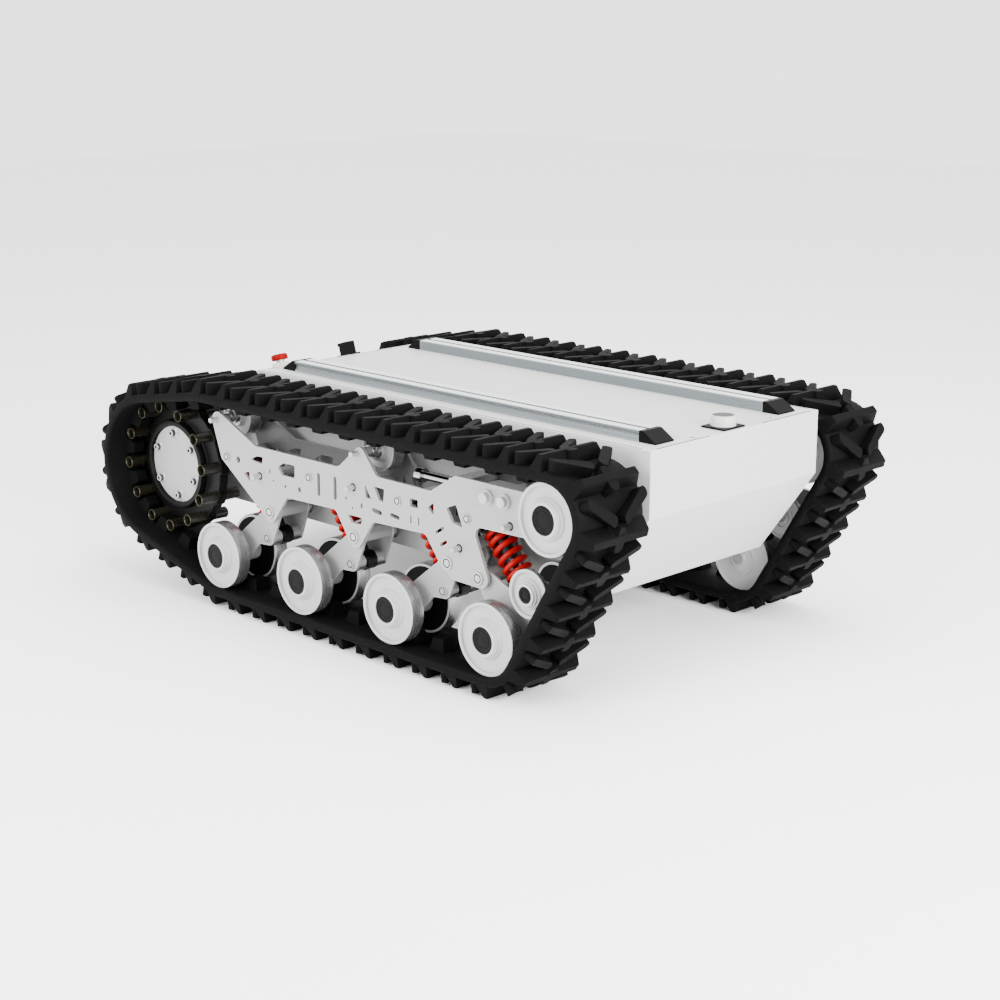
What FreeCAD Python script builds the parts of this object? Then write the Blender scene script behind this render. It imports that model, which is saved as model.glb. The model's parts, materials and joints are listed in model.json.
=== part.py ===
"""Tracked robot chassis: a sealed hull between two rubber tracks on sprung road wheels.

Frame: X forward, Y left, Z up, in millimetres. The origin is on the ground, under the middle.
Everything on the left is modelled at +Y, and the right side is its mirror image.
"""
import FreeCAD, Part
import math
import os

os.makedirs("parts", exist_ok=True)
V = FreeCAD.Vector

# ---- driving dimensions -------------------------------------------------------------------
# track
TRACK_CENTRE = 325.0          # |y| of the middle of each belt
BELT_WIDTH = 150.0
BELT_THICKNESS = 16.0
LUG_HEIGHT = 25.0
LUG_FOOT = (-9.0, 17.0)       # a cross bar's foot along the belt, from ahead to behind its place
LUG_CREST = (-1.4, 7.5)       # its crest, the same way
LUG_INSET = 11.5              # the bar's ends slope in by this much
LINK_CUT = 18.0               # each link ends this far behind its bar's place
HORN_HEIGHT = 21.0
CHEVRON_HEIGHT = 21.0
CHEVRON_WIDTH = 14.0
CHEVRON_MIDDLE = 33.5         # middle of a chevron block, forward of its bar
CHEVRON_REACH = 12.5          # from there to each end, along the belt
CHEVRON_ACROSS = (62.0, 14.0)  # its rear and front ends, from the belt's middle
LINK_COUNT = 40
PITCH = 71.0
PIN_COUNT = 12                # drive pins on each sprocket
RUN_GAP = 0.3                 # free gap between a wheel and the belt
HORN_SPAN = (325.0, 360.5)    # |y| of the guide horns inside the belt

# wheels: (x, z) of each axle
GROUND_INNER_Z = LUG_HEIGHT + BELT_THICKNESS
ROAD_RADIUS = 61.7
ROAD_X = [-279.0, -47.0, 185.0, 417.0]
ROAD_Z = GROUND_INNER_Z + RUN_GAP + ROAD_RADIUS
IDLER = (549.0, 328.0)
IDLER_RADIUS = 59.7
GUIDE = (491.5, 191.0)
GUIDE_RADIUS = 41.0
ROLLER_RADIUS = 40.0
ROLLER_Z = IDLER[1] + IDLER_RADIUS - ROLLER_RADIUS
ROLLER_X = [-322.0, 68.0]
SPROCKET_Z = 233.0
PIN_CIRCLE = 115.5
PIN_RADIUS = 11.0
PIN_PHASE = 5.4               # degrees, angle of the first drive pin above +X
DISC_INNER = (277.0, 305.0)   # |y| span of the inner and outer wheel discs
DISC_FRONT_INNER = (277.0, 288.5)   # narrower on the front road wheel, beside its shock
DISC_OUTER = (365.0, 393.0)
HUB_FACE = 400.0

# suspension
ARM_PIVOTS = [(-173.0, 198.5), (57.0, 197.0), (290.0, 197.7)]
SHOCK_TOPS = [(-293.8, 282.0), (-60.8, 282.7), (170.0, 282.1), (336.5, 282.2)]
ARM_EYE = (-20.0, -55.0)      # lower shock bolt, from the arm pivot
FRONT_PIVOT = (362.0, 186.0)
FRONT_EYE = (447.5, 152.0)
SHOCK_CENTRE = 305.0          # |y| of the shocks
OUTER_PLATE = (346.0, 352.0)
INNER_PLATE = (256.0, 262.0)
ARM_OUTER = (336.0, 341.0)
ARM_INNER = (270.0, 274.0)
FRONT_ARM_INNER = (289.5, 292.5)
ARM_TOE = (-46.0, -60.0)      # rear corner of a trailing arm, from its pivot
SHOCK_EYE = 12.0              # half width of the shock's eyes
FRAME_PINS = [(-199.7, 261.0), (55.9, 285.4), (317.4, 228.2), (433.4, 287.9)]
GUIDE_BOLTS = [(385.0, 327.5), (424.0, 327.5)]
RUNNING = 0.05                # radial clearance of every running fit

# hull
HULL_HALF = 222.0
HULL_BOTTOM = 152.0
DECK_TOP = 419.0
WALL = 3.0
HULL_PROFILE = [(-354.0, DECK_TOP), (614.0, DECK_TOP), (614.0, 308.0), (501.0, HULL_BOTTOM),
                (-540.0, HULL_BOTTOM), (-590.0, 240.0), (-590.0, 347.0)]
DECK_X = (-350.0, 609.0)
DECK_HALF = 218.0
SEAM = 1.5
FRONT_TAB = 69.0              # half length of the deck's tab across the front seam
CORNER_TAB = 14.0
REAR_SLOPE = math.degrees(math.atan2(DECK_TOP - 347.0, 590.0 - 354.0))

# deck fittings
RAIL_X = (-329.0, 592.0)
RAIL_CENTRE = 162.0
RAIL_WIDTH = 46.0
RAIL_HEIGHT = 19.0
SLOT_MOUTH = 8.2
CAP_LENGTH = 35.0
CONNECTOR_X = 582.0
CONNECTOR_HEIGHT = 18.0       # drum above its flange
FIXING_Y = 79.0               # accessory holes either side of the connector
FIXING_RADIUS = 2.1
ESTOP = (-373.5, -153.0)
REAR_SOCKET = (-371.0, 17.0)


# ---- small helpers ------------------------------------------------------------------------
def box(x0, x1, y0, y1, z0, z1):
    return Part.makeBox(x1 - x0, y1 - y0, z1 - z0, V(x0, y0, z0))


def rod_y(centre, radius, y0, y1):
    """Cylinder along Y about the point (x, z)."""
    return Part.makeCylinder(radius, y1 - y0, V(centre[0], y0, centre[1]), V(0, 1, 0))


def tube_y(centre, radius, bore, y0, y1):
    return rod_y(centre, radius, y0, y1).cut(rod_y(centre, bore, y0 - 1, y1 + 1))


def prism_y(face, y0, y1):
    face.translate(V(0, y0, 0))
    return face.extrude(V(0, y1 - y0, 0))


def union(shapes):
    return shapes[0].multiFuse(shapes[1:]).removeSplitter() if len(shapes) > 1 else shapes[0]


def shift(point, offset):
    return (point[0] + offset[0], point[1] + offset[1])


def polar(centre, radius, degrees):
    turn = math.radians(degrees)
    return (centre[0] + radius * math.cos(turn), centre[1] + radius * math.sin(turn))


def polygon(points):
    """Face in the XZ plane through straight-sided corners."""
    corners = [V(x, 0, z) for x, z in points]
    return Part.Face(Part.makePolygon(corners + corners[:1]))


def rounded(corners):
    """Face in the XZ plane whose corners (x, z, radius) are joined by tangent arcs."""
    edges = []
    ends = []
    count = len(corners)
    for index in range(count):
        px, pz, _ = corners[index - 1]
        x, z, radius = corners[index]
        nx, nz, _ = corners[(index + 1) % count]
        here = V(x, 0, z)
        back = (V(px, 0, pz) - here).normalize()
        ahead = (V(nx, 0, nz) - here).normalize()
        half = back.getAngle(ahead) / 2
        reach = radius / math.tan(half)
        start = here + back * reach
        end = here + ahead * reach
        bisector = (back + ahead).normalize()
        middle = here + bisector * (radius / math.sin(half) - radius)
        edges.append(Part.Arc(start, middle, end).toShape())
        ends.append((start, end))
    lines = []
    for index in range(count):
        lines.append(Part.LineSegment(ends[index - 1][1], ends[index][0]).toShape())
    path = [edge for pair in zip(lines, edges) for edge in pair]
    return Part.Face(Part.Wire(path))


def tangents(circles):
    """Angle of the outer tangent point between each circle (x, z, r) and the next, anticlockwise."""
    angles = []
    for index, (x, z, radius) in enumerate(circles):
        nx, nz, following = circles[(index + 1) % len(circles)]
        gap = math.hypot(nx - x, nz - z)
        angles.append(math.atan2(nz - z, nx - x) - math.acos((radius - following) / gap))
    return angles


def hull(circles, grow=0.0):
    """Face of the belt line pulled round the circles (x, z, r), given anticlockwise."""
    circles = [(x, z, radius + grow) for x, z, radius in circles]
    angles = tangents(circles)
    edges = []
    for index, (x, z, radius) in enumerate(circles):
        arrive = angles[index - 1]
        leave = arrive + (angles[index] - arrive) % (2 * math.pi)
        stops = [arrive, (arrive + leave) / 2, leave]
        arc = [V(x + radius * math.cos(a), 0, z + radius * math.sin(a)) for a in stops]
        edges.append(Part.Arc(*arc).toShape())
        nx, nz, following = circles[(index + 1) % len(circles)]
        landing = V(nx + following * math.cos(leave), 0, nz + following * math.sin(leave))
        edges.append(Part.LineSegment(arc[2], landing).toShape())
    return Part.Face(Part.Wire(edges))


def slot_face(x, z, length, width, degrees=0.0):
    """Round-ended slot in the XZ plane about (x, z)."""
    reach = (length - width) / 2
    ends = [polar((x, z), reach, degrees + 180), polar((x, z), reach, degrees)]
    return hull([(ends[0][0], ends[0][1], width / 2), (ends[1][0], ends[1][1], width / 2)])


def turned(profile, centre):
    """Solid of revolution about Y at (x, z), from (radius, |y|) points."""
    points = [V(centre[0] + radius, y, centre[1]) for radius, y in profile]
    face = Part.Face(Part.makePolygon(points + points[:1]))
    return face.revolve(V(centre[0], 0, centre[1]), V(0, 1, 0), 360)


def mirrored(shape):
    return shape.mirror(V(0, 0, 0), V(0, 1, 0))


def save(name, solids):
    shape = solids if isinstance(solids, Part.Shape) else Part.makeCompound(solids)
    shape.exportStep("parts/" + name + ".step")


def save_pair(name, solids):
    """Writes a left-hand part and its mirror image on the right."""
    save("left_" + name, solids)
    solids = solids if isinstance(solids, list) else [solids]
    save("right_" + name, [mirrored(solid) for solid in solids])


# ---- track line ---------------------------------------------------------------------------
SPROCKET_INNER = PIN_COUNT * PITCH / (2 * math.pi) - BELT_THICKNESS / 2


def track_circles(sprocket_x):
    """Circles of the belt's inner face, anticlockwise seen from -Y."""
    return [(ROAD_X[0], ROAD_Z, ROAD_RADIUS + RUN_GAP),
            (ROAD_X[3], ROAD_Z, ROAD_RADIUS + RUN_GAP),
            (IDLER[0], IDLER[1], IDLER_RADIUS + RUN_GAP),
            (ROLLER_X[0], ROLLER_Z, ROLLER_RADIUS + RUN_GAP),
            (sprocket_x, SPROCKET_Z, SPROCKET_INNER)]


def neutral_line(circles):
    """Straights and arcs of the belt's neutral line: (length, point and angle by distance)."""
    angles = tangents(circles)
    pieces = []
    for index, (x, z, radius) in enumerate(circles):
        radius += BELT_THICKNESS / 2
        arrive = angles[index - 1]
        sweep = (angles[index] - arrive) % (2 * math.pi)
        nx, nz, following = circles[(index + 1) % len(circles)]
        start = polar((x, z), radius, math.degrees(angles[index]))
        end = polar((nx, nz), following + BELT_THICKNESS / 2, math.degrees(angles[index]))
        pieces.append(("arc", radius * sweep, (x, z, radius, arrive)))
        pieces.append(("line", math.dist(start, end), (start, end, angles[index])))
    return pieces


def place_on_line(pieces, distance):
    """Point on the neutral line and its outward angle, a distance from the first arc's start."""
    distance %= sum(length for _, length, _ in pieces)
    for kind, length, data in pieces:
        if distance <= length:
            break
        distance -= length
    if kind == "arc":
        x, z, radius, arrive = data
        angle = arrive + distance / radius
        return (x + radius * math.cos(angle), z + radius * math.sin(angle)), angle
    start, end, angle = data
    share = distance / length
    return (start[0] + share * (end[0] - start[0]), start[1] + share * (end[1] - start[1])), angle


def fit_sprocket():
    """Sprocket X at which the neutral line holds a whole number of links."""
    near, far = -460.0, -500.0
    for _ in range(60):
        middle = (near + far) / 2
        total = sum(length for _, length, _ in neutral_line(track_circles(middle)))
        near, far = (near, middle) if total > LINK_COUNT * PITCH else (middle, far)
    return round(middle, 3)


SPROCKET = (fit_sprocket(), SPROCKET_Z)
CIRCLES = track_circles(SPROCKET[0])
LINE = neutral_line(CIRCLES)


def link_places(forward=0.0):
    """Point and outward angle of a spot on every link; on the sprocket the links sit between the pins."""
    before = sum(length for _, length, _ in LINE[:8])
    arrive = LINE[8][2][3]
    first = math.radians(PIN_PHASE + 180 / PIN_COUNT)
    lead = (first - arrive) % (2 * math.pi / PIN_COUNT)
    start = before + lead * LINE[8][2][2] - forward
    return [place_on_line(LINE, start + index * PITCH) for index in range(LINK_COUNT)]


def block_on_belt(point, angle, profile, y0, y1):
    """Prism across the belt: profile is (along, outward) from the neutral line."""
    out = (math.cos(angle), math.sin(angle))
    along = (-out[1], out[0])
    corners = []
    for run, rise in profile:
        corners.append((point[0] + run * along[0] + rise * out[0],
                        point[1] + run * along[1] + rise * out[1]))
    return prism_y(polygon(corners), y0, y1)


def chevron_block(point, angle, side):
    """Slanting tread block between two bars, on one side of the belt's middle."""
    out = V(math.cos(angle), 0, math.sin(angle))
    forward = V(out.z, 0, -out.x)
    across = V(0, 1, 0)
    base = V(point[0], TRACK_CENTRE, point[1]) + out * (BELT_THICKNESS / 2 - 1)
    start = base - forward * CHEVRON_REACH + across * (side * CHEVRON_ACROSS[0])
    end = base + forward * CHEVRON_REACH + across * (side * CHEVRON_ACROSS[1])
    width = (end - start).cross(out).normalize() * (CHEVRON_WIDTH / 2)
    corners = [start - width, start + width, end + width, end - width]
    face = Part.Face(Part.makePolygon(corners + corners[:1]))
    return face.extrude(out * (CHEVRON_HEIGHT + 1))


def corner_on_belt(point, angle, run, rise, y):
    """Point at a distance along and outward from a spot on the neutral line."""
    out = (math.cos(angle), math.sin(angle))
    return V(point[0] - run * out[1] + rise * out[0], y, point[1] + run * out[0] + rise * out[1])


def lug_bar(point, angle, low, high):
    """Cross bar of one link: a straight foot, then four faces that slope in to the crest."""
    half = BELT_THICKNESS / 2
    rings = []
    for rise, inset, (ahead, behind) in ((half, 0.0, LUG_FOOT), (half + LUG_HEIGHT, LUG_INSET, LUG_CREST)):
        spots = [(ahead, low + inset), (behind, low + inset), (behind, high - inset), (ahead, high - inset)]
        rings.append([corner_on_belt(point, angle, run, rise, y) for run, y in spots])
    loops = rings + [[rings[0][k - 1], rings[0][k], rings[1][k], rings[1][k - 1]] for k in range(4)]
    faces = [Part.Face(Part.makePolygon(loop + loop[:1])) for loop in loops]
    crest = Part.Solid(Part.Shell(faces))
    if crest.Volume < 0:
        crest.reverse()
    ahead, behind = LUG_FOOT
    foot = [(ahead, 0), (behind, 0), (behind, half), (ahead, half)]
    return block_on_belt(point, angle, foot, low, high).fuse(crest)


def track_belt():
    """One solid per link: its length of band, cross bar, guide horn and two chevron blocks."""
    half = BELT_THICKNESS / 2
    low = TRACK_CENTRE - BELT_WIDTH / 2
    high = low + BELT_WIDTH
    tip = -half - HORN_HEIGHT
    band = prism_y(hull(CIRCLES, BELT_THICKNESS).cut(hull(CIRCLES)), low, high)
    horn = [(-18, 0), (18, 0), (18, -half), (10, tip), (-10, tip), (-18, -half)]
    cuts = link_places(-LINK_CUT)
    middles = link_places(CHEVRON_MIDDLE)
    links = []
    for index, (point, angle) in enumerate(link_places()):
        ends = [cuts[index - 1], cuts[index]]
        corners = [polar(spot, reach, math.degrees(turn)) for spot, turn in ends for reach in (-40, 70)]
        wedge = prism_y(polygon([corners[0], corners[1], corners[3], corners[2]]), low - 1, high + 1)
        blocks = [lug_bar(point, angle, low, high), block_on_belt(point, angle, horn, *HORN_SPAN)]
        blocks += [chevron_block(*middles[index], side) for side in (-1, 1)]
        whole = band.common(wedge).multiFuse(blocks).removeSplitter()
        links.append(whole.common(wedge).Solids[0])
    return links


# ---- wheels -------------------------------------------------------------------------------
def wheel(centre, radius, inner, outer, face, shaft, hub):
    """Twin-disc wheel on one live shaft, with a rim lip and a recessed web on the outer face."""
    lip = 5.0
    sink = 4.0
    profile = [(0, inner[0] - 9), (shaft, inner[0] - 9), (shaft, inner[0] - 1), (hub, inner[0] - 1),
               (hub, inner[0] + sink), (radius - lip, inner[0] + sink), (radius - lip, inner[0]),
               (radius, inner[0]), (radius, inner[1]), (hub, inner[1]), (hub, inner[1] + 0.5),
               (shaft, inner[1] + 0.5), (shaft, outer[0] - 1), (hub, outer[0] - 1), (hub, outer[0]),
               (radius, outer[0]), (radius, outer[1]), (radius - lip, outer[1]),
               (radius - lip, outer[1] - sink), (hub, outer[1] - sink), (hub, face - 2),
               (hub - 2, face), (0, face)]
    return turned(profile, centre)


def return_roller(centre):
    """Single disc that turns on a frame pin."""
    y0, y1 = DISC_INNER
    bore = 8.0 + RUNNING
    rim = ROLLER_RADIUS - 4
    profile = [(bore, y0 - 3), (16, y0 - 3), (16, y0 + 5), (rim, y0 + 5), (rim, y0),
               (ROLLER_RADIUS, y0), (ROLLER_RADIUS, y1), (rim, y1), (rim, y1 - 6),
               (20, y1 - 6), (20, y1 + 6), (14, y1 + 6), (14, y1 + 20), (bore, y1 + 20)]
    return turned(profile, centre)


def drive_sprocket():
    """Thick carrier plate with hollow drive pins through its edge."""
    disc = tube_y(SPROCKET, PIN_CIRCLE + PIN_RADIUS + 0.5, 40, 302, 322)
    pins = []
    holes = []
    for index in range(PIN_COUNT):
        place = polar(SPROCKET, PIN_CIRCLE, PIN_PHASE + index * 360 / PIN_COUNT)
        pins.append(tube_y(place, PIN_RADIUS, PIN_RADIUS - 2.5, 270, 361))
        holes.append(rod_y(place, PIN_RADIUS - 2.5, 260, 370))
    return union([disc] + pins).cut(Part.makeCompound(holes))


def sprocket_hub():
    """White hub disc bolted to the sprocket, with its black lip ring, drive shaft and cap screws."""
    hub = turned([(0, 185), (15, 185), (15, 254), (34, 254), (34, 300), (39.7, 302), (39.7, 322),
                  (85, 322), (85, 335), (83, 337), (76.5, 337), (74.5, 335), (74.5, 330), (0, 330)], SPROCKET)
    screws = []
    for index in range(6):
        place = polar(SPROCKET, 60.5, PIN_PHASE + 30 + index * 60)
        head = rod_y(place, 6.5, 330, 339).cut(rod_y(place, 3, 334, 340))
        screws.append(head)
    return [hub] + screws


# ---- suspension ---------------------------------------------------------------------------
def plates(faces, span):
    return union([prism_y(face, *span) for face in faces])


def arm_weldment(solids, pivot, eye, inner, bosses, bores):
    """Plates and web joined by a pivot tube, the lower shock bolt's sleeves and axle bosses."""
    parts = solids + [rod_y(pivot, 14, 264, 344),
                      rod_y(eye, 12, SHOCK_CENTRE + SHOCK_EYE + 0.5, ARM_OUTER[0]),
                      rod_y(eye, 8, inner, ARM_OUTER[1] + 5)]
    parts += [rod_y(place, radius, y0, y1) for place, radius, y0, y1 in bosses]
    cutters = [rod_y(pivot, 8 + RUNNING, 250, 360)]
    cutters += [rod_y(place, radius + RUNNING, 250, 363) for place, radius in bores]
    return union(parts).cut(Part.makeCompound(cutters))


def trailing_arm(pivot, wheel_x):
    """Arm whose two plates straddle the inner wheel disc and the shock."""
    axle = (wheel_x, ROAD_Z)
    eye = shift(pivot, ARM_EYE)
    toe = shift(pivot, ARM_TOE)
    solids = []
    for span in (ARM_INNER, ARM_OUTER):
        faces = [hull([(*axle, 25), (*pivot, 16)]),
                 hull([(*eye, 14), (*pivot, 16)]),
                 hull([(*toe, 11), (*eye, 14), (*pivot, 16)])]
        solids.append(plates(faces, span))
    solids.append(box(toe[0], toe[0] + 8, ARM_INNER[1], ARM_OUTER[0], toe[1] - 8, toe[1] - 4.5))
    solids.append(rod_y(eye, 12, ARM_INNER[1], SHOCK_CENTRE - SHOCK_EYE - 0.5))
    return arm_weldment(solids, pivot, eye, ARM_INNER[0] - 5, [(axle, 22, 308, 362)], [(axle, 12)])


def front_arm():
    """V arm: the fourth road wheel below and the small guide wheel ahead."""
    pivot = FRONT_PIVOT
    axle = (ROAD_X[3], ROAD_Z)
    eye = FRONT_EYE
    outer = [hull([(*axle, 25), (*eye, 14), (*pivot, 16)]),
             hull([(*axle, 25), (*GUIDE, 17), (*eye, 14)])]
    inner = [hull([(*axle, 25), (*eye, 12)]), hull([(*axle, 25), (*pivot, 14)])]
    web = box(pivot[0] + 12, pivot[0] + 34, FRONT_ARM_INNER[1], ARM_OUTER[0], pivot[1] - 22, pivot[1] - 18.5)
    bosses = [(axle, 22, FRONT_ARM_INNER[1], 362), (GUIDE, 14, 329.5, 341)]
    solids = [plates(outer, ARM_OUTER), plates(inner, FRONT_ARM_INNER), web]
    return arm_weldment(solids, pivot, eye, FRONT_ARM_INNER[0], bosses, [(axle, 12), (GUIDE, 9)])


def shock(top, eye):
    """Coil-over damper: body and top eye, rod and bottom eye, and the coil spring."""
    length = math.dist(top, eye)
    reach = V(eye[0] - top[0], 0, eye[1] - top[1]).normalize()
    start = V(top[0], SHOCK_CENTRE, top[1])

    def along(distance, radius, span):
        return Part.makeCylinder(radius, span, start + reach * distance, reach)

    low, high = SHOCK_CENTRE - SHOCK_EYE, SHOCK_CENTRE + SHOCK_EYE
    body = union([rod_y(top, 14, low, high), along(6, 11.4, 82), along(20, 25, 5)])
    body = body.cut(Part.makeCompound([rod_y(top, 6.3, low - 1, high + 1), along(14, 6 + RUNNING, 90)]))
    lower = union([along(60, 6, length - 70), along(length - 42, 25, 5), along(length - 40, 11, 30),
                   rod_y(eye, 17, low, high)])
    lower = lower.cut(rod_y(eye, 8.3, low - 1, high + 1))
    wire = 4.0
    span = length - 67 - 2 * wire - 0.4
    helix = Part.makeHelix(span / 6.5, span, 25 - wire)
    section = Part.Wire(Part.Circle(V(25 - wire, 0, 0), V(0, 1, 0), wire).toShape())
    coil = Part.Wire(helix.Edges).makePipeShell([section], True, True)
    turn = FreeCAD.Rotation(V(0, 0, 1), reach)
    coil.Placement = FreeCAD.Placement(start + reach * (25 + wire + 0.2), turn)
    return [body, lower, coil]


def side_plate_face():
    """Outline of the pressed side plates: four pivot lobes, a rear horn and a roller peak."""
    corners = [(-347, 377, 16), (-311, 276, 12), (-168, 174, 16), (-125, 234, 12), (9, 237, 12),
               (59, 165, 17), (106, 233, 12), (237, 237, 12), (272, 191, 14), (303, 171, 10),
               (392, 169, 17), (347, 272, 14), (520, 276, 10), (520, 349, 10), (308, 349, 8),
               (249, 313, 10), (115, 314, 18), (76, 364, 12), (17, 314.5, 18), (-212, 314.5, 15)]
    return rounded(corners)


def side_plate_cutouts():
    """Lightening windows and slots of the side plates."""
    windows = [[(-230, 287, 2), (-207, 297, 3), (-190, 298, 2), (-192, 284, 2)],
               [(-248, 259, 2), (-230, 264, 2), (-228, 245, 1.5)],
               [(-150, 287, 3), (-130, 297, 3), (-100, 297, 3), (-101, 273, 3), (-138, 273, 3)],
               [(85, 299, 1.5), (103, 272, 1.5), (87, 272, 1.5)],
               [(107, 297, 2), (136, 296, 2), (133, 272, 2), (121, 274, 2)],
               [(37, 234.5, 3), (81, 234.5, 4), (74, 221, 3), (50, 221, 3)],
               [(198, 292, 2), (219, 292, 2), (219, 277, 2), (198, 277, 2)],
               [(241, 284, 2), (257, 295, 1.5), (257, 272, 1.5)],
               [(286, 291, 2), (310, 301, 2), (326, 264, 2), (301, 268, 2)]]
    slots = [(-36, 274, 43, 9, 90), (8, 275, 43, 9, 90), (116, 253, 27, 9, -8), (161, 253, 25, 8, -6),
             (201, 255, 15, 4.5, 90), (220, 255, 15, 4.5, 90), (271, 250, 25, 6, 32), (280, 229, 20, 6, 32),
             (-171, 275, 9, 5, 90), (77, 256, 11, 7, 90)]
    holes = [(-262, 281, 6.5), (-161.6, 259.5, 2.5), (-128, 254, 3.5), (-89, 254.8, 5), (36.7, 262.7, 3),
             (53, 248, 2.5)]
    faces = [rounded(corners) for corners in windows] + [slot_face(*slot) for slot in slots]
    return faces, holes


def side_plate(span):
    y0, y1 = span
    solid = prism_y(side_plate_face(), y0, y1)
    faces, holes = side_plate_cutouts()
    cutters = [prism_y(face, y0 - 1, y1 + 1) for face in faces]
    cutters += [rod_y((x, z), radius, y0 - 1, y1 + 1) for x, z, radius in holes]
    for pin in FRAME_PINS + roller_places():
        cutters.append(rod_y(pin, 5.3, y0 - 1, y1 + 1))
    for pin in ARM_PIVOTS + [FRONT_PIVOT] + GUIDE_BOLTS:
        cutters.append(rod_y(pin, 8.3, y0 - 1, y1 + 1))
    for pin in SHOCK_TOPS:
        cutters.append(rod_y(pin, 6.3, y0 - 1, y1 + 1))
    return solid.cut(Part.makeCompound(cutters))


def roller_places():
    return [(x, ROLLER_Z) for x in ROLLER_X]


def frame_fasteners():
    """Through pins, pivot bolts, shock bolts and spacers that tie the plates to the hull."""
    solids = []
    in0, in1 = INNER_PLATE
    out0, out1 = OUTER_PLATE
    for pin in FRAME_PINS:
        solids.append(turned([(0, HULL_HALF), (9, HULL_HALF), (9, in0), (5, in0), (5, in1), (9, in1),
                              (9, out0), (5, out0), (5, out1 + 17), (4, out1 + 18), (0, out1 + 18)], pin))
    for pin in roller_places():
        solids.append(turned([(0, HULL_HALF), (11, HULL_HALF), (11, in0), (5, in0), (5, in1), (8, in1),
                              (8, out0), (5, out0), (5, out1 + 15), (4, out1 + 16), (0, out1 + 16)], pin))
    for pin in ARM_PIVOTS + [FRONT_PIVOT]:
        solids.append(turned([(0, in0 - 6), (12, in0 - 6), (12, in0), (8, in0), (8, out1), (11, out1),
                              (11, out1 + 3), (0, out1 + 3)], pin))
    near, far = SHOCK_CENTRE - SHOCK_EYE - 0.5, SHOCK_CENTRE + SHOCK_EYE + 0.5
    for pin in SHOCK_TOPS:
        solids.append(turned([(0, in0 - 6), (9, in0 - 6), (9, in0), (6, in0), (6, in1), (10, in1),
                              (10, near), (6, near), (6, far), (10, far), (10, out0), (6, out0), (6, out1),
                              (8, out1), (8, out1 + 3), (0, out1 + 3)], pin))
    for pin in GUIDE_BOLTS:
        solids.append(turned([(0, in0 - 6), (12, in0 - 6), (12, in0), (8, in0), (8, out1), (12, out1),
                              (12, out1 + 5), (9, out1 + 5), (9, out1 + 14), (0, out1 + 14)], pin))
    block = box(288, 318, in1, out0, 314, 342)
    solids.append(block.cut(tensioner_bore()))
    return solids


TENSIONER_Y = 326.0
TENSIONER_Z = IDLER[1]


def rod_x(radius, x0, x1, y, z):
    return Part.makeCylinder(radius, x1 - x0, V(x0, y, z), V(1, 0, 0))


def tensioner_bore():
    return rod_x(7 + RUNNING, 280, 330, TENSIONER_Y, TENSIONER_Z)


def idler_yoke():
    """Sliding carriage of the idler, held by two guide bolts in its slots."""
    bar = hull([(372, IDLER[1], 18), (IDLER[0], IDLER[1], 18)])
    solid = union([prism_y(bar, 312, 340), rod_y(IDLER, 28, 309, 344)])
    slot_x = [x for x, _ in GUIDE_BOLTS]
    cutters = [prism_y(slot_face(x, GUIDE_BOLTS[0][1], 42, 17), 300, 350) for x in slot_x]
    cutters.append(rod_y(IDLER, 12 + RUNNING, 300, 350))
    cutters.append(rod_x(7.3, 350, 359, TENSIONER_Y, TENSIONER_Z))
    return solid.cut(Part.makeCompound(cutters))


def tensioner_rod():
    """Chromed adjuster rod with its nut, pushed into the yoke."""
    rod = rod_x(7, 196, 359, TENSIONER_Y, TENSIONER_Z)
    nut = rod_x(12, 194, 208, TENSIONER_Y, TENSIONER_Z)
    return union([rod, nut])


# ---- hull ---------------------------------------------------------------------------------
def inset_profile(points, wall):
    """The closed outline moved inwards by a wall, corner by corner (points run clockwise)."""
    moved = []
    count = len(points)
    for index in range(count):
        before, here, after = points[index - 1], points[index], points[(index + 1) % count]
        first = math.atan2(here[1] - before[1], here[0] - before[0])
        second = math.atan2(after[1] - here[1], after[0] - here[0])
        middle = (first + second) / 2 if abs(first - second) < math.pi else (first + second) / 2 + math.pi
        reach = wall / math.cos((second - first) / 2)
        moved.append((here[0] + abs(reach) * math.sin(middle), here[1] - abs(reach) * math.cos(middle)))
    return moved


def hull_tub():
    """Welded sheet body, open under the deck plate, with a ledge that the plate rests on."""
    outer = prism_y(polygon(HULL_PROFILE), -HULL_HALF, HULL_HALF)
    cavity = prism_y(polygon(inset_profile(HULL_PROFILE, WALL)), WALL - HULL_HALF, HULL_HALF - WALL)
    cavity = cavity.cut(box(-600, 620, -HULL_HALF, HULL_HALF, DECK_TOP - 2 * WALL, DECK_TOP))
    pocket = box(DECK_X[0] - SEAM, DECK_X[1] + SEAM, -DECK_HALF - SEAM, DECK_HALF + SEAM,
                 DECK_TOP - WALL, DECK_TOP + 1)
    hatch = box(DECK_X[0] + 14, DECK_X[1] - 14, 14 - DECK_HALF, DECK_HALF - 14, DECK_TOP - 3 * WALL, DECK_TOP)
    cutters = [cavity, pocket, hatch]
    cutters.append(rod_y(SPROCKET, 40.3, -HULL_HALF - 1, HULL_HALF + 1))
    cutters.append(Part.makeCylinder(14, 20, V(CONNECTOR_X, 0, DECK_TOP - 12)))
    cutters.append(on_rear_slope(Part.makeCylinder(8.5, 20, V(0, 0, -18)), *ESTOP))
    for x, y in deck_screw_places():
        cutters.append(Part.makeCylinder(2.6, 20, V(x, y, DECK_TOP - 12)))
    return outer.cut(cutters[0]).cut(Part.makeCompound(cutters[1:]))


def deck_screw_places():
    """The plate is screwed to the ledge along its front and rear edges."""
    rear, front = DECK_X[0] + 7, DECK_X[1] - 7
    return [(rear, -104.0), (rear, 0.0), (rear, 104.0), (front, -104.0), (front, 104.0)]


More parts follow.
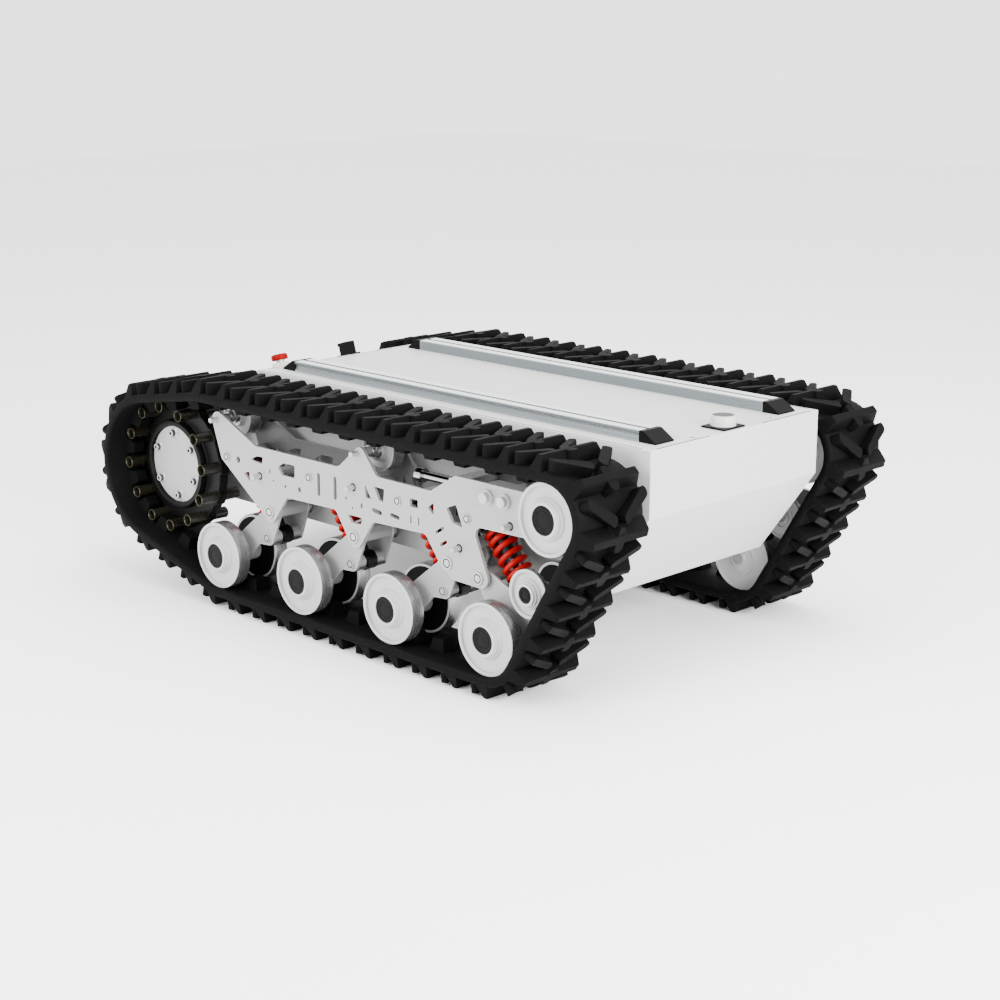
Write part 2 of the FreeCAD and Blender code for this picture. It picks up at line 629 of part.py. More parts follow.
def deck_plate():
    low, high = DECK_TOP - WALL, DECK_TOP
    plate = box(DECK_X[0], DECK_X[1], -DECK_HALF, DECK_HALF, low, high)
    tabs = [box(DECK_X[1], DECK_X[1] + SEAM, -FRONT_TAB, FRONT_TAB, low, high)]
    edge = DECK_HALF - CORNER_TAB
    for x0, x1 in ((DECK_X[0] - SEAM, DECK_X[0] + CORNER_TAB), (DECK_X[1] - CORNER_TAB, DECK_X[1] + SEAM)):
        tabs.append(box(x0, x1, edge, DECK_HALF + SEAM, low, high))
        tabs.append(box(x0, x1, -DECK_HALF - SEAM, -edge, low, high))
    plate = union([plate] + tabs)
    holes = [Part.makeCylinder(2.6, 10, V(x, y, DECK_TOP - 5)) for x, y in deck_screw_places()]
    holes.append(Part.makeCylinder(14, 10, V(CONNECTOR_X, 0, DECK_TOP - 5)))
    for y in (-FIXING_Y, FIXING_Y):
        holes.append(Part.makeCylinder(FIXING_RADIUS, 10, V(CONNECTOR_X, y, DECK_TOP - 5)))
    return plate.cut(Part.makeCompound(holes))


def deck_screws():
    solids = []
    for x, y in deck_screw_places():
        shank = Part.makeCylinder(2.5, 11, V(x, y, DECK_TOP - 10.5))
        head = Part.makeCylinder(4.5, 1.6, V(x, y, DECK_TOP))
        socket = Part.makeCylinder(1.6, 2, V(x, y, DECK_TOP + 0.8))
        solids.append(union([shank, head]).cut(socket))
    return solids


def payload_rail(sign):
    """Low aluminium extrusion: one undercut slot along its top, and a hollowed outer face."""
    half = RAIL_WIDTH / 2
    top = DECK_TOP + RAIL_HEIGHT
    mouth = SLOT_MOUTH / 2
    outer = [(mouth, top), (half - 1, top), (half, top - 1), (half, top - 4), (half - 3.5, top - 7),
             (half - 4, top - 10), (half - 2.5, top - 14), (half, DECK_TOP + 2.5), (half, DECK_TOP),
             (half - 9, DECK_TOP), (half - 9, DECK_TOP + 5), (6, DECK_TOP + 5), (6, DECK_TOP)]
    inner = [(-6, DECK_TOP), (-6, DECK_TOP + 5), (9 - half, DECK_TOP + 5), (9 - half, DECK_TOP),
             (-half, DECK_TOP), (-half, top - 1), (1 - half, top), (-mouth, top)]
    slot = [(-mouth, top - 3.5), (-8, top - 3.5), (-8, top - 7), (-5, top - 10), (5, top - 10), (8, top - 7),
            (8, top - 3.5), (mouth, top - 3.5)]
    x = RAIL_X[0] + CAP_LENGTH
    corners = [V(x, sign * (RAIL_CENTRE + y), z) for y, z in outer + inner + slot]
    face = Part.Face(Part.makePolygon(corners + corners[:1]))
    return face.extrude(V(RAIL_X[1] - RAIL_X[0] - 2 * CAP_LENGTH, 0, 0))


def rail_end_caps():
    """Black wedges that close the four rail ends."""
    top = DECK_TOP + RAIL_HEIGHT
    solids = []
    for start, step in ((RAIL_X[0] + CAP_LENGTH, -1), (RAIL_X[1] - CAP_LENGTH, 1)):
        profile = [(start, DECK_TOP), (start, top), (start + step * 9, top),
                   (start + step * CAP_LENGTH, DECK_TOP + 2.5), (start + step * CAP_LENGTH, DECK_TOP)]
        for sign in (-1, 1):
            y0 = sign * RAIL_CENTRE - RAIL_WIDTH / 2
            solids.append(prism_y(polygon(profile), y0, y0 + RAIL_WIDTH))
    return solids


def connector_flange():
    plate = box(CONNECTOR_X - 24, CONNECTOR_X + 24, -28, 28, DECK_TOP, DECK_TOP + 3)
    hole = Part.makeCylinder(14, 10, V(CONNECTOR_X, 0, DECK_TOP - 2))
    return plate.cut(hole)


def front_connector():
    """Round capped receptacle with a shallow contact face."""
    base = DECK_TOP + 3
    face = base + CONNECTOR_HEIGHT - 2

    def disc(radius, z, height, x=CONNECTOR_X, y=0.0):
        return Part.makeCylinder(radius, height, V(x, y, z))

    shell = union([disc(21, base, CONNECTOR_HEIGHT), disc(22.5, base, 3), disc(13.7, base - 20, 20)])
    pins = [disc(17.2, face, 1.2)]
    for index in range(6):
        pins.append(disc(2, face, 1.8, *polar((CONNECTOR_X, 0), 10, index * 60)))
    return union([shell.cut(disc(17.5, face, 3))] + pins)


def on_rear_slope(shape, x, y):
    """Moves a shape built at the origin with its base on Z=0 on to the sloping rear panel."""
    drop = (x + 354.0) * math.tan(math.radians(REAR_SLOPE))
    turn = FreeCAD.Rotation(V(0, 1, 0), -REAR_SLOPE)
    shape.Placement = FreeCAD.Placement(V(x, y, DECK_TOP + drop), turn)
    return shape


def estop_collar():
    collar = Part.makeCone(19, 16, 8, V(0, 0, 0)).cut(Part.makeCylinder(8 + RUNNING, 20, V(0, 0, -1)))
    return on_rear_slope(collar, *ESTOP)


def estop_button():
    """Mushroom head on a stem that slides in the collar."""
    stem = Part.makeCylinder(8, 21.5, V(0, 0, -7))
    head = Part.makeCylinder(16, 9, V(0, 0, 14.5))
    head = head.makeFillet(3.5, [edge for edge in head.Edges if edge.BoundBox.ZMin > 23])
    return on_rear_slope(stem.fuse(head), *ESTOP)


def rear_socket():
    """Black cable socket block on a thin flange."""
    flange = box(-16, 16, -18, 18, 0, 3)
    block = box(-13, 13, -10, 10, 3, 25)
    lip = box(-16, 13, -10, 10, 21, 27)
    return on_rear_slope(union([flange, block, lip]), *REAR_SOCKET)


# ---- inside the hull ----------------------------------------------------------------------
def drive_motor():
    """Motor and gearbox with a nose through the hull wall and a bore for the sprocket shaft."""
    body = turned([(0, 62), (46, 62), (46, 130), (55, 130), (55, 218.5), (40, 218.5), (40, 248), (0, 248)],
                  SPROCKET)
    return body.cut(rod_y(SPROCKET, 15 + RUNNING, 180, 260))


def battery_pack():
    """Two battery bricks strapped side by side on the hull floor."""
    floor = HULL_BOTTOM + WALL
    bricks = [box(-60, 300, sign * 95 - 80, sign * 95 + 80, floor, floor + 150) for sign in (-1, 1)]
    return [brick.makeFillet(6, brick.Edges) for brick in bricks]


def motor_controller():
    """Finned controller box behind the batteries."""
    floor = HULL_BOTTOM + WALL
    base = box(-300, -100, -75, 75, floor, floor + 40)
    fins = [box(-290, -110, y - 2, y + 2, floor + 40, floor + 58) for y in range(-66, 67, 12)]
    return union([base] + fins)


# ---- write every part ---------------------------------------------------------------------
def main():
    save("hull_tub", hull_tub())
    save("deck_plate", deck_plate())
    save("deck_screws", deck_screws())
    save("payload_rails", [payload_rail(-1), payload_rail(1)])
    save("rail_end_caps", rail_end_caps())
    save("connector_flange", connector_flange())
    save("front_connector", front_connector())
    save("estop_collar", estop_collar())
    save("estop_button", estop_button())
    save("rear_socket", rear_socket())
    save("battery_pack", battery_pack())
    save("motor_controller", motor_controller())
    motor = drive_motor()
    save("drive_motors", [motor, mirrored(motor)])
    fasteners = frame_fasteners()
    save("frame_fasteners", fasteners + [mirrored(solid) for solid in fasteners])

    save_pair("track_belt", track_belt())
    save_pair("outer_side_plate", side_plate(OUTER_PLATE))
    save_pair("inner_side_plate", side_plate(INNER_PLATE))
    save_pair("drive_sprocket", drive_sprocket())
    save_pair("sprocket_hub", sprocket_hub())
    save_pair("idler_wheel", wheel(IDLER, IDLER_RADIUS, DISC_INNER, DISC_OUTER, HUB_FACE, 12, 29))
    save_pair("idler_yoke", idler_yoke())
    save_pair("tensioner_rod", tensioner_rod())
    save_pair("guide_wheel", wheel(GUIDE, GUIDE_RADIUS, (298, 308.5), (361.5, 372), 379, 9, 19))
    for name, place in zip(("rear", "middle"), roller_places()):
        save_pair("return_roller_" + name, return_roller(place))
    eyes = [shift(pivot, ARM_EYE) for pivot in ARM_PIVOTS] + [FRONT_EYE]
    for index, x in enumerate(ROAD_X):
        number = str(index + 1)
        front = index == 3
        disc = DISC_FRONT_INNER if front else DISC_INNER
        save_pair("road_wheel_" + number, wheel((x, ROAD_Z), ROAD_RADIUS, disc, DISC_OUTER, HUB_FACE, 12, 28))
        arm = front_arm() if front else trailing_arm(ARM_PIVOTS[index], x)
        save_pair("swing_arm_" + number, arm)
        save_pair("shock_" + number, shock(SHOCK_TOPS[index], eyes[index]))
    print("sprocket x", SPROCKET[0], "sprocket inner radius", round(SPROCKET_INNER, 3))


main()
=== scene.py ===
"""Looks of the tracked chassis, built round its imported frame. Lengths here are millimetres until MM."""

import json
import math

import bmesh
import bpy
from mathutils import Matrix, Vector


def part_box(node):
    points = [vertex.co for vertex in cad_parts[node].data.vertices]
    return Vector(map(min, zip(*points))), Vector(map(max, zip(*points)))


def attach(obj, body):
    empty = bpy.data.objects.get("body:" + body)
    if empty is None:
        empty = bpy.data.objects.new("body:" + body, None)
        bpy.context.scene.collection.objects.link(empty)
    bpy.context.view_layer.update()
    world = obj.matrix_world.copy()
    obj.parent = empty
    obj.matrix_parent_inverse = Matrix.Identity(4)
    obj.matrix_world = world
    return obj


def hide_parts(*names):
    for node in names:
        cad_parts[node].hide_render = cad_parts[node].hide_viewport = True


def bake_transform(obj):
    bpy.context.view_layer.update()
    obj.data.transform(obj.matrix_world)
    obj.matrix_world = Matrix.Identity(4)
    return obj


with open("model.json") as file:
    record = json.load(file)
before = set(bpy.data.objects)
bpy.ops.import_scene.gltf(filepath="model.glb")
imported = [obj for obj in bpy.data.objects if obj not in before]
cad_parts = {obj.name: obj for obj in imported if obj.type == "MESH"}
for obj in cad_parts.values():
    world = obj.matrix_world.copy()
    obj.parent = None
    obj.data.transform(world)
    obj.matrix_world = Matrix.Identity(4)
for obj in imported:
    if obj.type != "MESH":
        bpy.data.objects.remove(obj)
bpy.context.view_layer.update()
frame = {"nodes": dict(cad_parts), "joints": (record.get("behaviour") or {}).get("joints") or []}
NODES = frame["nodes"]
MM = 0.001
SIDES = (("left", 1), ("right", -1))
ARMS = (1, 2, 3, 4)

# ---- belt, in millimetres, as the frame has it; a link's own lengths run forward ----
TRACK_CENTRE = 325.0
BELT_WIDTH = 150.0
BELT_THICKNESS = 16.0
LINKS = 40
RUN_GAP = 0.3
LUG_HEIGHT = 25.0
LUG_INSET = 11.5
LUG_FOOT = (9.0, -17.0)
LUG_CREST = (1.4, -7.5)
CHEVRON_HEIGHT = 21.0
CHEVRON_WIDTH = 7.2
CHEVRON_REAR = (21.0, 63.0)
CHEVRON_FRONT = (47.0, 13.0)
HORN_HEIGHT = 21.0
HORN_SIDES = (325.0, 360.5)
ARC_STEP = 7.0
LINE_STEP = 36.0

# ---- wheels: the two discs' faces are given as |y| ----
INNER_DISC = (277.0, 305.0)
NARROW_INNER_DISC = (277.0, 288.5)
OUTER_DISC = (365.0, 393.0)
HUB_FACE = 400.0
WHEEL_SHAFT = 12.0
ROAD_RADIUS = 61.7
ROAD_HUB = 28.0
IDLER_RADIUS = 59.7
IDLER_HUB = 29.0
GUIDE_RADIUS = 41.0
GUIDE_HUB = 19.0
GUIDE_INNER_DISC = (298.0, 308.5)
GUIDE_OUTER_DISC = (361.5, 372.0)
GUIDE_HUB_FACE = 379.0
GUIDE_SHAFT = 9.0
CAP_SEAT = 5.4

# ---- drive sprocket ----
PINS = 12
PITCH = 71.0
PIN_PHASE = 5.4
PIN_CIRCLE = 115.5
PIN_RADIUS = 11.0
PIN_WALL = 1.3
CARRIER_CREST = 126.6
CARRIER_VALLEY = 122.4
CARRIER_BORE = 40.0
CARRIER_FACES = (302.0, 322.0)
CARRIER_CHAMFER = 1.2
CREST_HALF_ANGLE = 6.6
HUB_SCREWS = 6
SCREW_CIRCLE = 60.5

# ---- shocks: top and bottom pins as (x, z) ----
SHOCK_Y = 305.0
SHOCKS = {1: ((-293.8, 282.0), (-193.0, 143.5)), 2: ((-60.8, 282.7), (37.0, 142.0)),
          3: ((170.0, 282.1), (270.0, 142.7)), 4: ((336.5, 282.2), (447.5, 152.0))}
COIL_RADIUS = 20.0
WIRE_RADIUS = 4.9
COIL_TURNS = 6.3
COIL_START = 30.0
COIL_END_GAP = 46.5
TOP_EYE = 14.0
BOTTOM_EYE = 17.0

# ---- frame and deck ----
FRAME_PINS = ((-199.7, 261.0), (55.9, 285.4), (317.4, 228.2), (433.4, 287.9))
BOLT_FACE = 354.6
FRAME_PIN_FACE = 351.8
ARM_BOLT_FACE = 345.6
GROOVE_SHADE_RISE = 0.7
WEB_STRIPS = ((274.2, 291.5), (318.6, 335.8))
BUMP_STOP_SIDES = (318.5, 331.0)
SEAM_SHADE_RISE = (0.02, 0.14)
FRONT_SEAM_SHADE_ENDS = (69.6, 203.5)
SIDE_SEAM_SHADE = (217.4, 219.9)
STOP_BUTTON = (-373.5, -153.0)
SLOPE_START = -354.0


# ---- reading the frame ----
def node_centre(node):
    """Middle of a node's box as (x, z), in millimetres."""
    low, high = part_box(node)
    middle = (low + high) / 2 / MM
    return middle.x, middle.z


def joint_place(name):
    """A hinge's (x, z), in millimetres."""
    joint = next(j for j in frame["joints"] if j["name"] == name)
    return joint["pos_m"][0] / MM, joint["pos_m"][2] / MM


# ---- materials ----
class Nodes:
    """Short way to add linked shader nodes to one material."""

    def __init__(self, material):
        material.use_nodes = True
        self.tree = material.node_tree
        self.shader = self.tree.nodes["Principled BSDF"]

    def add(self, kind, inputs=None, **settings):
        node = self.tree.nodes.new(kind)
        for key, value in settings.items():
            setattr(node, key, value)
        for key, value in (inputs or {}).items():
            if isinstance(value, bpy.types.NodeSocket):
                self.tree.links.new(value, node.inputs[key])
            else:
                node.inputs[key].default_value = value
        return node

    def link(self, output, socket):
        self.tree.links.new(output, self.shader.inputs[socket])

    def place(self, scale=(1, 1, 1)):
        coords = self.add("ShaderNodeTexCoord")
        return self.add("ShaderNodeMapping", {"Vector": coords.outputs["Object"], "Scale": scale}).outputs[0]

    def noise(self, scale, detail=3.0, stretch=(1, 1, 1)):
        inputs = {"Vector": self.place(stretch), "Scale": scale, "Detail": detail}
        return self.add("ShaderNodeTexNoise", inputs).outputs["Fac"]

    def spread(self, value, low, high, start=0.3, end=0.7):
        inputs = {"Value": value, "From Min": start, "From Max": end, "To Min": low, "To Max": high}
        return self.add("ShaderNodeMapRange", inputs).outputs["Result"]

    def blend(self, share, first, second):
        node = self.add("ShaderNodeMix", {"Factor": share}, data_type="RGBA")
        for socket, value in ((6, first), (7, second)):
            if isinstance(value, bpy.types.NodeSocket):
                self.tree.links.new(value, node.inputs[socket])
            else:
                node.inputs[socket].default_value = (*value, 1)
        return node.outputs[2]

    def bump(self, height, strength, distance, under=None):
        inputs = {"Height": height, "Strength": strength, "Distance": distance}
        if under is not None:
            inputs["Normal"] = under
        return self.add("ShaderNodeBump", inputs).outputs["Normal"]


GRAIN_DEPTH = 0.0003


def shade(colour, factor):
    return tuple(min(1.0, c * factor) for c in colour)


def surface(name, colour, roughness, metallic=0.0, vary=0.06, patch=9.0, grain=900.0, bump=0.05,
            edge=0.0, coat=0.0, stretch=(1, 1, 1), edge_highlight=None, gloss=0.5, top=None):
    """Patchy colour, fine grain and softened edges, with a painted highlight along edges and a painted
    highlight on upward faces where they're given.
    """
    material = bpy.data.materials.new(name)
    n = Nodes(material)
    cloud = n.noise(patch, 4.0)
    fine = n.noise(grain, 2.0, stretch)
    tint = n.blend(n.spread(cloud, 0.0, 1.0), shade(colour, 1 - vary), shade(colour, 1 + vary))
    # painted highlight: edges are lightened where the bevelled normal turns away from the face's normal
    if edge_highlight:
        rim = n.add("ShaderNodeBevel", {"Radius": 0.0025}, samples=4)
        facing = n.add("ShaderNodeNewGeometry").outputs["Normal"]
        dot = n.add("ShaderNodeVectorMath", {0: rim.outputs[0], 1: facing}, operation="DOT_PRODUCT")
        share = n.spread(dot.outputs["Value"], 1.0, 0.0, 0.75, 0.985)
        tint = n.blend(share, tint, edge_highlight)
    # painted highlight: faces whose normal points up are blended towards the top colour
    if top:
        rise = n.add("ShaderNodeSeparateXYZ", {"Vector": n.add("ShaderNodeNewGeometry").outputs["Normal"]})
        tint = n.blend(n.spread(rise.outputs["Z"], 0.0, 1.0, 0.7, 0.95), tint, top)
    n.link(tint, "Base Color")
    n.link(n.spread(fine, roughness * 0.88, roughness * 1.12), "Roughness")
    n.shader.inputs["Metallic"].default_value = metallic
    n.shader.inputs["Specular IOR Level"].default_value = gloss
    if coat:
        n.shader.inputs["Coat Weight"].default_value = coat
        n.shader.inputs["Coat Roughness"].default_value = 0.12
    soft = n.add("ShaderNodeBevel", {"Radius": edge}, samples=6).outputs[0] if edge else None
    n.link(n.bump(fine, bump, GRAIN_DEPTH, soft), "Normal")
    return material


def turned_metal(name, colour, roughness, metallic, rings=1500.0, gloss=0.5):
    """Metal with fine turning marks round the piece's own Y axis."""
    material = bpy.data.materials.new(name)
    n = Nodes(material)
    coords = n.add("ShaderNodeTexCoord").outputs["Object"]
    flat = n.add("ShaderNodeVectorMath", {0: coords, 1: (1, 0, 1)}, operation="MULTIPLY").outputs[0]
    radius = n.add("ShaderNodeVectorMath", {0: flat}, operation="LENGTH").outputs["Value"]
    along = n.add("ShaderNodeSeparateXYZ", {"Vector": coords}).outputs["Y"]
    key = n.add("ShaderNodeCombineXYZ", {"X": radius, "Y": along}).outputs[0]
    marks = n.add("ShaderNodeTexNoise", {"Vector": key, "Scale": rings, "Detail": 2.0}).outputs["Fac"]
    cloud = n.noise(14.0, 4.0)
    n.link(n.blend(n.spread(cloud, 0.0, 1.0), shade(colour, 0.95), shade(colour, 1.04)), "Base Color")
    n.link(n.spread(marks, roughness * 0.85, roughness * 1.15), "Roughness")
    n.shader.inputs["Metallic"].default_value = metallic
    n.shader.inputs["Specular IOR Level"].default_value = gloss
    n.link(n.bump(marks, 0.08, GRAIN_DEPTH), "Normal")
    return material


def rubber_material():
    """Moulded black rubber: fine pebble, slight bloom in patches and scuffed lug tops."""
    material = bpy.data.materials.new("belt_rubber")
    n = Nodes(material)
    cloud = n.noise(22.0, 5.0)
    pebble = n.noise(1400.0, 2.0)
    scuff = n.noise(120.0, 6.0, (1, 3, 1))
    tint = n.blend(n.spread(cloud, 0.0, 1.0), (0.0006, 0.0006, 0.0006), (0.0014, 0.0014, 0.0014))
    tint = n.blend(n.spread(scuff, 0.0, 0.35, 0.55, 0.75), tint, (0.003, 0.003, 0.0029))
    n.link(tint, "Base Color")
    n.link(n.spread(cloud, 0.62, 0.78), "Roughness")
    n.shader.inputs["Specular IOR Level"].default_value = 0.055
    soft = n.add("ShaderNodeBevel", {"Radius": 0.0012}, samples=4).outputs[0]
    under = n.bump(scuff, 0.15, 0.0006, soft)
    n.link(n.bump(pebble, 0.22, 0.0004, under), "Normal")
    return material


# Each material's lighter edge colour given here is a painted highlight along its edges.
M = {
    "hull": surface("hull_paint", (0.42, 0.42, 0.418), 0.42, vary=0.012, patch=3.0, grain=1600.0, bump=0.06,
                    edge=0.0022, edge_highlight=(0.72, 0.72, 0.72)),
    "plate": surface("plate_paint", (0.25, 0.25, 0.248), 0.36, vary=0.02, patch=6.0, grain=1500.0, bump=0.07,
                     edge=0.0009, edge_highlight=(0.55, 0.55, 0.55)),
    # inner plates: the plate paint darkened, painted shade between the plates
    "inner": surface("inner_plate_shaded_paint", (0.085, 0.085, 0.085), 0.40, vary=0.03, patch=6.0, grain=1500.0,
                     bump=0.07, edge=0.0009, edge_highlight=(0.16, 0.16, 0.16)),
    "arm": surface("arm_paint", (0.24, 0.24, 0.238), 0.38, vary=0.03, patch=9.0, grain=1500.0, bump=0.07,
                   edge=0.0008, edge_highlight=(0.5, 0.5, 0.5)),
    "rubber": rubber_material(),
    "wheel": turned_metal("wheel_face", (0.33, 0.336, 0.334), 0.36, 0.0),
    "rim": turned_metal("wheel_rim", (0.30, 0.30, 0.30), 0.28, 0.9),
    "cap": turned_metal("hub_cap", (0.0014, 0.0016, 0.0015), 0.42, 0.0, rings=700.0, gloss=0.075),
    "carrier": surface("carrier_black", (0.0016, 0.0016, 0.0014), 0.45, gloss=0.12, vary=0.25, grain=700.0,
                       bump=0.12, edge=0.001),
    "pin": surface("drive_pin", (0.0085, 0.0078, 0.0042), 0.30, gloss=0.3, vary=0.2, grain=500.0, bump=0.05,
                   coat=0.3),
    "pin_rim": surface("drive_pin_rim", (0.036, 0.033, 0.017), 0.35, vary=0.12, grain=500.0),
    "hub": turned_metal("sprocket_hub_face", (0.29, 0.29, 0.29), 0.34, 0.15, rings=900.0),
    "red": surface("spring_red", (0.27, 0.0001, 0.0001), 0.36, gloss=0.12, vary=0.05, patch=30.0, grain=900.0,
                   bump=0.04),
    "damper": surface("damper_body", (0.004, 0.004, 0.0043), 0.30, gloss=0.2, vary=0.1, grain=900.0),
    # black: real black plastic, and also painted shade in the deck seam, screw sockets, bolt grooves and
    # between wheel discs
    "black": surface("black_plastic", (0.0034, 0.0034, 0.0034), 0.42, gloss=0.03, vary=0.2, grain=1300.0,
                     bump=0.12, edge=0.0006),
    "bush": surface("black_rubber", (0.0012, 0.0012, 0.0012), 0.40, gloss=0.12, vary=0.2, grain=900.0,
                    bump=0.1),
    # web: dark steel, painted shade on the arms' underside sheets and in screw sockets
    "web": surface("shaded_web_steel", (0.035, 0.035, 0.035), 0.42, 0.3, vary=0.08, patch=20.0, grain=700.0,
                   edge=0.0006),
    "chrome": surface("polished_steel", (0.42, 0.42, 0.42), 0.12, 1.0, vary=0.02, grain=500.0, bump=0.02),
    "zinc": surface("zinc_steel", (0.36, 0.36, 0.355), 0.26, 0.35, vary=0.04, grain=900.0, edge=0.0005),
    # rail: the dark base colour is painted shade on its sides, and top is a painted highlight on its upward
    # faces
    "rail": surface("rail_aluminium", (0.125, 0.142, 0.152), 0.27, 0.5, vary=0.03, patch=7.0, grain=1200.0,
                    bump=0.08, edge=0.0005, stretch=(0.02, 1, 1), edge_highlight=(0.5, 0.52, 0.53),
                    top=(0.62, 0.64, 0.65)),
    "ivory": surface("white_plastic", (0.42, 0.415, 0.40), 0.35, vary=0.02, grain=1500.0, bump=0.04,
                     edge=0.0007),
    "button": surface("red_plastic", (0.16, 0.0001, 0.0001), 0.4, gloss=0.05, vary=0.04, grain=1500.0,
                      bump=0.03),
    "motor": surface("motor_metal", (0.22, 0.22, 0.23), 0.4, 0.8, vary=0.08, grain=900.0, edge=0.001),
    "battery": surface("battery_wrap", (0.03, 0.05, 0.10), 0.35, vary=0.12, grain=300.0, bump=0.1),
}


def dress(material, *names):
    """Gives CAD nodes their material."""
    for name in names:
        data = NODES[name].data
        data.materials.clear()
        data.materials.append(M[material])


# ---- mesh helpers ----
def round_points(centre, radius, count):
    """Evenly spaced points on a circle, as (u, v)."""
    turns = [2 * math.pi * step / count for step in range(count)]
    return [(centre[0] + radius * math.cos(turn), centre[1] + radius * math.sin(turn)) for turn in turns]


def around(centre, radius, degrees):
    """Point at an angle on a circle, as (x, z)."""
    turn = math.radians(degrees)
    return centre[0] + radius * math.cos(turn), centre[1] + radius * math.sin(turn)


def piece(name, bm, materials, body, smooth=32.0, origin=None, bevel=0.0):
    """Turns a bmesh in millimetres into a finished object that rides a body."""
    bmesh.ops.recalc_face_normals(bm, faces=bm.faces)
    for face in bm.faces:
        face.smooth = True
    limit = math.radians(smooth)
    for edge in bm.edges:
        edge.smooth = len(edge.link_faces) == 2 and edge.calc_face_angle() < limit
    origin = Vector(origin or (0, 0, 0))
    bm.transform(Matrix.Scale(MM, 4) @ Matrix.Translation(-origin))
    mesh = bpy.data.meshes.new(name)
    bm.to_mesh(mesh)
    bm.free()
    made = bpy.data.objects.new(name, mesh)
    bpy.context.scene.collection.objects.link(made)
    made.location = origin * MM
    for key in materials:
        mesh.materials.append(M[key])
    if bevel:
        modifier = made.modifiers.new("bevel", "BEVEL")
        modifier.width = bevel * MM
        modifier.segments = 2
        modifier.limit_method = "ANGLE"
        modifier.angle_limit = math.radians(38)
        modifier.harden_normals = True
    if body:
        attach(made, body)
    return made


def lathe(bm, profile, centre, sign, steps=72):
    """Turns (radius, |y|, material) round the Y axis through (x, z); the material is the next band's."""
    x, z = centre
    rings = []
    for radius, y, _ in profile:
        if radius < 0.01:
            rings.append([bm.verts.new((x, sign * y, z))])
            continue
        rings.append([bm.verts.new((u, sign * y, v)) for u, v in round_points((x, z), radius, steps)])
    for index in range(len(rings) - 1):
        bridge(bm, rings[index], rings[index + 1], profile[index][2])


def bridge(bm, first, second, material=0):
    """Faces between two closed rings; a ring of one vertex is a pole."""
    count = max(len(first), len(second))
    for index in range(count):
        after = (index + 1) % count
        corners = [first[index % len(first)], first[after % len(first)],
                   second[after % len(second)], second[index % len(second)]]
        corners = list(dict.fromkeys(corners))
        if len(corners) > 2:
            bm.faces.new(corners).material_index = material


def tube(bm, path, radius):
    """Twelve-sided bar along a list of points, with closed ends."""
    rings = []
    up = Vector((0, 1, 0))
    for index, here in enumerate(path):
        ahead = path[min(index + 1, len(path) - 1)] - path[max(index - 1, 0)]
        ahead.normalize()
        across = ahead.cross(up)
        across = across.normalized() if across.length > 1e-4 else Vector((1, 0, 0))
        up = across.cross(ahead).normalized()
        ring = round_points((0, 0), radius, 12)
        rings.append([bm.verts.new(here + across * u + up * v) for u, v in ring])
    for first, second in zip(rings, rings[1:]):
        bridge(bm, first, second)
    bm.faces.new(rings[0])
    bm.faces.new(rings[-1])


def spindle(bm, start, end, stations, sides=28, material=0):
    """Solid of revolution between two points: stations are (distance from start, radius)."""
    ahead = (end - start).normalized()
    across = Vector((0, 1, 0))
    up = ahead.cross(across).normalized()
    rings = []
    for distance, radius in stations:
        here = start + ahead * distance
        if radius < 0.01:
            rings.append([bm.verts.new(here)])
            continue
        ring = round_points((0, 0), radius, sides)
        rings.append([bm.verts.new(here + across * u + up * v) for u, v in ring])
    for first, second in zip(rings, rings[1:]):
        bridge(bm, first, second, material)


def prism(bm, outline, place, low, high, shrink=0.0):
    """Solid from a closed outline: place(u, v, h) maps it, h runs from low to high, and the top shrinks."""
    count = len(outline)
    mid_u = sum(u for u, _ in outline) / count
    mid_v = sum(v for _, v in outline) / count
    bottom = [bm.verts.new(place(u, v, low)) for u, v in outline]
    top = []
    for u, v in outline:
        reach = math.hypot(u - mid_u, v - mid_v)
        keep = max(0.0, 1 - shrink / reach)
        top.append(bm.verts.new(place(mid_u + (u - mid_u) * keep, mid_v + (v - mid_v) * keep, high)))
    for index in range(count):
        after = (index + 1) % count
        bm.faces.new([bottom[index], bottom[after], top[after], top[index]])
    bm.faces.new(bottom)
    bm.faces.new(top)


# ---- belt line ----
def tangents(circles):
    """Angle of the outer tangent between each circle (x, z, r) and the next, anticlockwise seen from -Y."""
    angles = []
    for index, (x, z, radius) in enumerate(circles):
        nx, nz, following = circles[(index + 1) % len(circles)]
        gap = math.hypot(nx - x, nz - z)
        angles.append(math.atan2(nz - z, nx - x) - math.acos((radius - following) / gap))
    return angles


